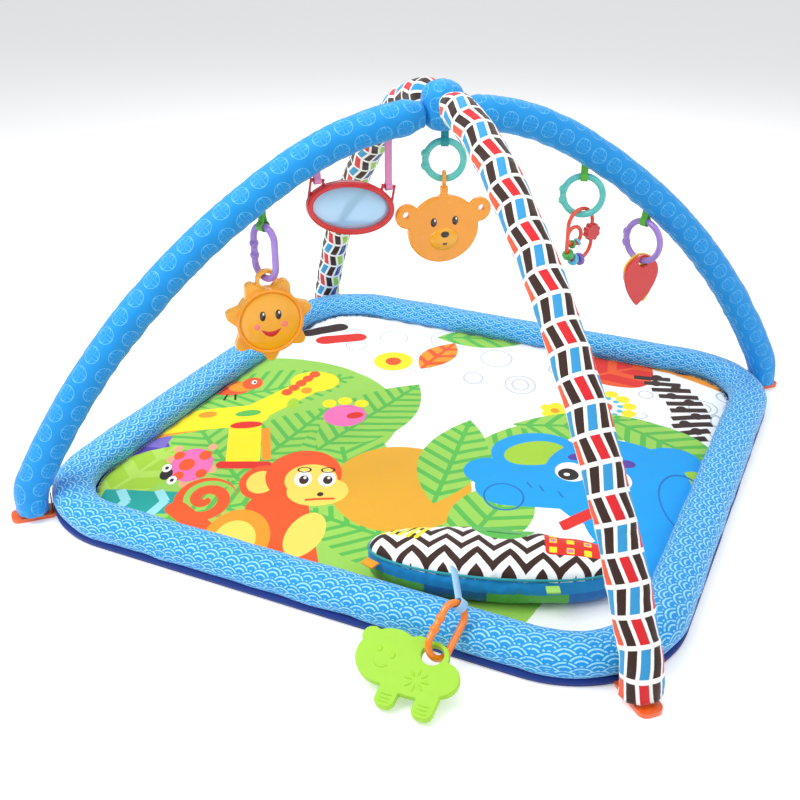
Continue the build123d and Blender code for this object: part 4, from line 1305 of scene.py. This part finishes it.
# %% Snap rings
def ring_bumps(name, node, body, material):
    """Two short rows of raised bumps on the side of a ring."""
    low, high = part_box(node)
    middle = (low + high) / 2
    axis = joint_at(name + "_swing")[1]
    across = Vector((axis.x, axis.y, 0)).normalized()
    half = ((high - low).to_2d()).length / 2
    face = Vector((-across.y, across.x, 0))
    front = face if face.y < 0 else -face
    rows = []
    for sign in (1, -1):
        spots = []
        for k in range(7):
            a = math.radians(-24 + 8 * k)
            out, rise = (half - 0.0042) * math.cos(a), (half - 0.0042) * math.sin(a)
            spots.append(middle + across * (sign * out) + Vector((0, 0, rise)) + front * 0.0040)
        rows.append(row_along(f"{name}_bumps_{sign}", spots, 0.0040, (0.0018, 0.0014, 0.0018), material))
    bumps = join_pieces(name + "_bumps", *rows)
    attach(bumps, body)
    return bumps


for name, node, paint, slot in (("sun_link", "link_sun", "purple", "purple_plastic"),
                                ("rattle_link", "link_rattle", "teal", "teal_plastic"),
                                ("leaf_link", "link_leaf", "purple", "purple_plastic"),
                                ("centre_link", "link_centre", "teal", "teal_plastic"),
                                ("teether_link", "link_teether", "orange", "orange_plastic")):
    ring = soft_copy(name + "_ring", [node], plastics[paint], name, voxel=0.0007, rounds=3)
    if name in ("rattle_link", "leaf_link", "centre_link"):
        ring_bumps(name, node, name, plastics[paint])
    print(name, "faces", len(ring.data.polygons))

# %% [markdown]
# The sun is a hollow shell of two halves with balls inside. Its face is moulded on: a raised
# ring, a domed middle, and eyes, cheeks and a smile as thin raised pads of other colours.
# Everything on the face is built flat and carried to the toy by one matrix.


# %% Face parts for the toys
def plate(name, outline, depth, material, place, dome=0.0):
    """A thin pad with a domed front, from an outline of (x, y) points, placed by a matrix."""
    rings, count = [], len(outline)
    middle = np.mean(np.array(outline, float), axis=0)
    for share, height in ((1.0, -depth), (1.0, 0.0), (0.94, dome * 0.35), (0.75, dome * 0.7),
                          (0.4, dome * 0.95), (0.08, dome)):
        rings.append([(*(middle + (np.array(q) - middle) * share), height) for q in outline])
    pad_piece = skin(name, rings, np.arange(len(rings)) * 0.002, np.arange(count + 1) * 0.002, material)
    pad_piece.data.transform(place)
    return pad_piece


def oval_outline(x, y, rx, ry, turn=0.0, count=36):
    c, s = math.cos(math.radians(turn)), math.sin(math.radians(turn))
    ring = [(rx * math.cos(a), ry * math.sin(a)) for a in np.arange(count) * TURN / count]
    return [(x + c * u - s * v, y + s * u + c * v) for u, v in ring]


def smile_outline(x, y, half, drop, thick, count=14):
    low = [(x + half * t, y - drop * (1 - t * t)) for t in np.linspace(-1, 1, count)]
    high = [(x + half * t, y - (drop - thick) * (1 - t * t)) for t in np.linspace(1, -1, count)]
    return low + high[1:-1]


def face_place(centre, right, up):
    """A matrix that carries flat (x, y) work to a plane in space, its front along right x up."""
    right, up = right.normalized(), up.normalized()
    out = right.cross(up)
    return Matrix(((right.x, up.x, out.x, centre.x), (right.y, up.y, out.y, centre.y),
                   (right.z, up.z, out.z, centre.z), (0, 0, 0, 1)))


ARCH_RIGHT = Vector((1, 1, 0)).normalized()
UP = Vector((0, 0, 1))
ARCH_FRONT = ARCH_RIGHT.cross(UP)
print("the toys face", [round(v, 2) for v in ARCH_FRONT])

# %% The sun rattle
sun_pin = joint_at("sun_swing")[0]
sun_middle = sun_pin - UP * 0.0512
front = soft_copy("sun_front", ["sun_front_shell"], plastics["sun"], "sun", voxel=0.0008, rounds=3)
back = soft_copy("sun_back", ["sun_back_shell"], plastics["sun"], "sun", voxel=0.0008, rounds=3)
SUN_HALF = 0.0100
sun_face = face_place(sun_middle + ARCH_FRONT * SUN_HALF, ARCH_RIGHT, UP)
circle = [(0.0385 * math.cos(a), 0.0385 * math.sin(a), 0) for a in np.arange(72) * TURN / 72]
ring = round_wire("sun_ring", circle, 0.0022, plastics["amber"])
ring.data.transform(sun_face)
parts = [ring, plate("sun_dome", oval_outline(0, 0, 0.0362, 0.0362), 0.0015, plastics["sun"], sun_face,
                     dome=0.0018)]
lifted = sun_face @ Matrix.Translation((0, 0, 0.0018))
for x in (-0.0095, 0.0095):
    eye = plate("eye", oval_outline(x, 0.0085, 0.0036, 0.0062), 0.002, plastics["dark"], lifted, dome=0.0010)
    glint = plate("glint", oval_outline(x + 0.0008, 0.0115, 0.0011, 0.0017), 0.001, plastics["white"],
                  lifted @ Matrix.Translation((0, 0, 0.0010)), dome=0.0004)
    cheek = plate("cheek", oval_outline(1.72 * x, -0.0045, 0.0042, 0.0042), 0.002, plastics["pink"],
                  sun_face @ Matrix.Translation((0, 0, 0.0014)), dome=0.0006)
    parts += [eye, glint, cheek]
parts.append(plate("smile", smile_outline(0, -0.0085, 0.0130, 0.0105, 0.0070), 0.002, plastics["red"],
                   sun_face @ Matrix.Translation((0, 0, 0.0016)), dome=0.0005))
sun_features = join_pieces("sun_features", *parts)
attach(sun_features, "sun")
print("sun faces", len(front.data.polygons), len(back.data.polygons), len(sun_features.data.polygons))

# %% [markdown]
# The mirror is a silvered plastic sheet in a red frame. A real mirror would only show the
# studio, so the sheet's colour is a painted reflection: a pale sky blue with a soft diagonal
# band of painted sheen. Its roughness is low.

# %% The mirror
mirror_ring = soft_copy("mirror_ring", ["mirror_frame"], plastics["red"], "mirror", voxel=0.0008, rounds=3)
mirror_rear = soft_copy("mirror_rear", ["mirror_back"], plastics["red"], "mirror", voxel=0.0009, rounds=2)
material, graph, shader = principled("mirror_film")
mx, _, mz = graph.split(object_place(graph))
# The sheet's colour is a painted reflection: a diagonal band of painted highlight, broken by noise, over a
# pale sky blue.
slope = graph.math("ADD", graph.math("MULTIPLY", mx, 11.0), graph.math("MULTIPLY", mz, 13.0))
reflection_band = graph.math("SINE", graph.math("ADD", slope, 0.9))
ripple = graph.noise(object_place(graph), 8.0, 1.0)
reflection_band = graph.math("ADD", graph.math("MULTIPLY", reflection_band, 0.5), graph.math("MULTIPLY", ripple, 0.9))
graph.feed(shader.inputs["Base Color"], graph.mix(reflection_band, rgb(176, 214, 244), rgb(246, 252, 255)))
graph.feed(shader.inputs["Roughness"], graph.math("ADD", 0.06, graph.math("MULTIPLY", ripple, 0.06)))
shader.inputs["Metallic"].default_value = 0.2
shader.inputs["Coat Weight"].default_value = 0.5
film = soft_copy("mirror_film", ["mirror_sheet"], material, "mirror", edge=0.0003)
print("mirror frame faces", len(mirror_ring.data.polygons))

# %% The rattle's wire, beads and flower
wire = soft_copy("rattle_bar", ["rattle_wire"], plastics["orange_red"], "rattle", voxel=0.0006, rounds=3)
for node, paint, slot in (("bead_green", "green", "bead_green_plastic"), ("bead_sky", "sky", "sky_plastic"),
                          ("bead_purple", "bead_purple", "purple_plastic"),
                          ("curl_ring_green", "green", "bead_green_plastic"),
                          ("curl_ring_sky", "sky", "sky_plastic"), ("flower_bead", "red", "red_plastic")):
    bead = soft_copy(node + "_moulded", [node], plastics[paint], node, voxel=0.0005, rounds=3)
    print(node, "faces", len(bead.data.polygons))

# %% The two leaves
for colour, paint in (("red", "leaf_red"), ("yellow", "yellow")):
    node = "leaf_" + colour
    leaf = soft_copy(node + "_body", [node], plastics[paint], node, voxel=0.0006, rounds=4)

# %% The bear head of the middle toy
head = soft_copy("cub_head", ["cub_rattle"], plastics["amber"], "cub", voxel=0.0008, rounds=5)
cub_pin = joint_at("cub_swing")[0]
cub_face = face_place(cub_pin - UP * 0.062 + ARCH_FRONT * 0.0040, ARCH_RIGHT, UP)
parts = [plate("muzzle", oval_outline(0, -0.012, 0.019, 0.014), 0.001, plastics["sun"], cub_face,
               dome=0.0030)]
for x in (-0.014, 0.014):
    parts.append(plate("eye", oval_outline(x, 0.010, 0.0040, 0.0056), 0.001, plastics["dark"], cub_face,
                       dome=0.0012))
    parts.append(plate("glint", oval_outline(x + 0.001, 0.0125, 0.0012, 0.0016), 0.0005, plastics["white"],
                       cub_face @ Matrix.Translation((0, 0, 0.0011)), dome=0.0003))
parts.append(plate("nose", oval_outline(0, -0.006, 0.0056, 0.0040), 0.001, plastics["dark"],
                   cub_face @ Matrix.Translation((0, 0, 0.0024)), dome=0.0012))
parts.append(plate("smile", smile_outline(0, -0.014, 0.0080, 0.0050, 0.0016), 0.001, plastics["dark"],
                   cub_face @ Matrix.Translation((0, 0, 0.0026)), dome=0.0003))
cub_features = join_pieces("cub_features", *parts)
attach(cub_features, "cub")
print("cub faces", len(head.data.polygons))

# %% [markdown]
# The pillow is stuffed, so a cloth simulation shapes it: the cushion's block is remeshed,
# blown up a little with gravity off, and the swelling is capped so that it stays in its
# place. Its print, a zigzag with a frog and a patch of squares, is laid in the pillow's own
# turned frame. The side is a gusset of plain bands.

# %% The pillow's print
PILLOW_TURN = math.radians(18)
pillow_low, pillow_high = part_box("pillow_cover")
pillow_middle = (pillow_low + pillow_high) / 2
PILLOW_LENGTH, PILLOW_WIDTH = 0.280, 0.093
ZIGZAG_LENGTH, BAND_WIDTH = 0.034, 0.021
material, graph, shader = principled("pillow_print")
pillow_cloth = material
local = graph.turn(graph.vector("SUBTRACT", object_place(graph), tuple(pillow_middle)), -PILLOW_TURN)
px, py, pz = graph.split(local)
wave = graph.math("FRACT", graph.math("DIVIDE", px, ZIGZAG_LENGTH))
wave = graph.math("ABSOLUTE", graph.math("SUBTRACT", wave, 0.5))
bands = graph.math("ADD", graph.math("DIVIDE", py, BAND_WIDTH), graph.math("MULTIPLY", wave, 1.7))
bands = graph.math("FRACT", bands)
art = Artwork(graph, local, solid_colour(graph, WHITE))
art.lay(graph.math("LESS_THAN", bands, 0.48), BROWN)
for k in range(6):
    art.bar(YELLOW, (-128 + 9 * k, 12 - 2 * k), (-112 + 10 * k, 40), 2.6)
art.oval(LEAF_DARK, 8, 30, 34, 24)
art.oval(LEAF_DARK, -10, 42, 10, 10)
art.oval(LEAF_DARK, 24, 42, 10, 10)
for x in (-10, 24):
    art.oval(WHITE, x, 40, 7, 7)
    art.oval(BLACK, x + 1, 39, 3.5, 4)
art.bar(rgb(30, 120, 60), (-8, 18), (26, 18), 1.4)
art.bar(RED, (58, 10), (122, 14), 24, 6)
for i in range(4):
    for j in range(3):
        art.bar(YELLOW, (58 + 18 * i, -6 + 16 * j), (64 + 18 * i, -6 + 16 * j), 4.5, 1)
        if (i + j) % 2:
            art.oval(PINK, 61 + 18 * i, -6 + 16 * j, 3, 3)
art.bar(SKY_BLUE, (132, -30), (134, 30), 10)
gusset = graph.math("LESS_THAN", pz, 0.0105)
green_band = graph.math("LESS_THAN", pz, -0.004)
art.lay(gusset, rgb(20, 142, 200))
patch = graph.math("GREATER_THAN", graph.math("SINE", graph.math("MULTIPLY", px, 42.0)), -0.2)
art.lay(green_band, graph.mix(patch, rgb(16, 108, 176), rgb(96, 184, 72)))
finish_cloth(graph, shader, art.colour, thread=0.0007, crumple=1.4, rough=0.68, sheen=0.2)
print("pillow print nodes:", len(material.node_tree.nodes))

# %% The pillow's swelling
pillow = soft_copy("pillow_stuffed", ["pillow_cover"], pillow_cloth, "pillow", voxel=0.0045, rounds=2)
bm = bmesh.new()
bm.from_mesh(pillow.data)
shells, seen = [], set()
for seed_vert in bm.verts:
    if seed_vert in seen:
        continue
    island, edge = {seed_vert}, [seed_vert]
    while edge:
        vert = edge.pop()
        for link in vert.link_edges:
            other = link.other_vert(vert)
            if other not in island:
                island.add(other)
                edge.append(other)
    seen |= island
    shells.append(island)
outer_shell = max(shells, key=len)
bmesh.ops.delete(bm, geom=[v for v in bm.verts if v not in outer_shell], context="VERTS")
for vert in bm.verts:
    vert.co = pillow_middle + (vert.co - pillow_middle) * 0.965
bmesh.ops.recalc_face_normals(bm, faces=bm.faces)
bm.to_mesh(pillow.data)
bm.free()
rest = np.array([v.co[:] for v in pillow.data.vertices])
cloth = pillow.modifiers.new("swell", "CLOTH")
cloth.settings.quality = 5
cloth.settings.mass = 0.2
cloth.settings.tension_stiffness = 12
cloth.settings.compression_stiffness = 12
cloth.settings.use_pressure = True
cloth.settings.uniform_pressure_force = 4
cloth.settings.effector_weights.gravity = 0
cloth.point_cache.frame_start, cloth.point_cache.frame_end = 1, 20
for step in range(1, 21):
    bpy.context.scene.frame_set(step)
swollen = bpy.data.meshes.new_from_object(pillow.evaluated_get(bpy.context.evaluated_depsgraph_get()))
pillow.modifiers.clear()
moved = np.array([v.co[:] for v in swollen.vertices]) - rest
bpy.data.meshes.remove(swollen)
bpy.context.scene.frame_set(1)
size = np.linalg.norm(moved, axis=1)
keep = np.minimum(1.0, 0.006 / np.maximum(size, 1e-9))
rest = rest + moved * keep[:, None]
floor_z = pillow_low.z - 0.0002
for vert, place in zip(pillow.data.vertices, rest):
    x, y, z = place
    local = Matrix.Rotation(-PILLOW_TURN, 3, "Z") @ (Vector(place) - pillow_middle)
    round_share = math.hypot(local.x / (PILLOW_LENGTH / 2), local.y / (PILLOW_WIDTH / 2))
    seam = math.exp(-((local.z - 0.0125) / 0.0022) ** 2) * ease((round_share - 0.75) / 0.2)
    angle = math.atan2(local.y * 2.2, local.x)
    pucker = 0.0007 * math.sin(46 * angle + 2 * bumpy(place, 0.03)) * ease((round_share - 0.55) / 0.35)
    away = Vector((x - pillow_middle.x, y - pillow_middle.y, 0)).normalized()
    crease = 0.0016 * bumpy((x, y, 2.0), 0.035) * (local.z > 0)
    shift = away * (pucker - 0.0020 * seam) + UP * crease
    vert.co = Vector((x + shift.x, y + shift.y, max(z + shift.z, floor_z)))
fine = pillow.modifiers.new("fine", "SUBSURF")
fine.levels = fine.render_levels = 1
smooth(pillow.data)
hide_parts("pillow_filling")
print("pillow faces", len(pillow.data.polygons), "shells found", len(shells))

# %% The pillow's piping, tabs and loop
piping_line = []
for k in range(120):
    a = TURN * k / 120
    x, y = (PILLOW_LENGTH / 2 - 0.006) * math.cos(a), (PILLOW_WIDTH / 2 - 0.004) * math.sin(a)
    flat = Matrix.Rotation(PILLOW_TURN, 3, "Z") @ Vector((x, y, 0.0125))
    piping_line.append(pillow_middle + flat)
piping = round_wire("pillow_piping", even_points(piping_line, 0.004, closed=True), 0.0016, cloths["teal"])
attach(piping, "pillow")
for node, colour in (("pillow_tab_orange", "orange"), ("pillow_tab_lime", "lime"), ("pillow_loop", "sky")):
    tab = soft_copy(node + "_sewn", [node], cloths[colour], "pillow", edge=0.0004)
print("pillow tabs sewn")

# %% [markdown]
# The teether is soft silicone, so it is satin and lets some light in under its skin. Its
# face and sunburst are raised from the same material.

# %% The silicone teether
teether = soft_copy("teether_soft", ["teether"], plastics["silicone"], "teether", voxel=0.0007, rounds=4)
slope = math.radians(19)
teether_hole = joint_at("teether_swing")[0]
plate_up = Vector((0, math.cos(slope), math.sin(slope)))
plate_right = Vector((1, 0, 0))
plate_face = face_place(teether_hole + plate_right.cross(plate_up) * 0.0034, plate_right, plate_up)
parts = []
for x, y in ((-0.051, -0.010), (-0.036, -0.013)):
    parts.append(plate("eye", oval_outline(x, y, 0.0028, 0.0036), 0.0006, plastics["silicone"], plate_face,
                       dome=0.0012))
parts.append(plate("smile", smile_outline(-0.044, -0.024, 0.0085, 0.0050, 0.0022), 0.0006,
                   plastics["silicone"], plate_face, dome=0.0009))
for k in range(8):
    a = TURN * k / 8
    x, y = -0.004 + 0.0085 * math.cos(a), -0.030 + 0.0085 * math.sin(a)
    parts.append(plate("ray", oval_outline(x, y, 0.0042, 0.0012, math.degrees(a)), 0.0006,
                       plastics["silicone"], plate_face, dome=0.0009))
for x, y in ((-0.025, -0.052), (0.013, -0.052)):
    for step in range(3):
        parts.append(plate("rib", oval_outline(x, y - 0.004 * step, 0.0065, 0.0011), 0.0006,
                           plastics["silicone"], plate_face, dome=0.0009))
embossed = join_pieces("teether_relief", *parts)
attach(embossed, "teether")
print("teether faces", len(teether.data.polygons))

# %% [markdown]
# What is left of the CAD model is hidden or nearly so: rods, joining sleeves, foam, feet,
# screws and the balls in the sun. Each keeps its own mesh and gets a plain material.

# %% Materials of the CAD parts that stay
for node, material in (("blue_rods", plastics["grey"]), ("brick_rods", plastics["grey"]),
                       ("blue_ferrule", plastics["grey"]), ("brick_ferrule", plastics["grey"]),
                       ("blue_foam", cloths["foam"]), ("brick_foam", cloths["foam"]),
                       ("blue_feet", plastics["grey"]), ("brick_feet", plastics["grey"]),
                       ("sun_screws", plastics["steel"]), ("sun_rattle_balls", plastics["grey"])):
    mesh = bpy.data.objects[node].data
    mesh.materials.clear()
    mesh.materials.append(material)

print("CAD box", [tuple(round(v, 4) for v in c) for c in cad_box])
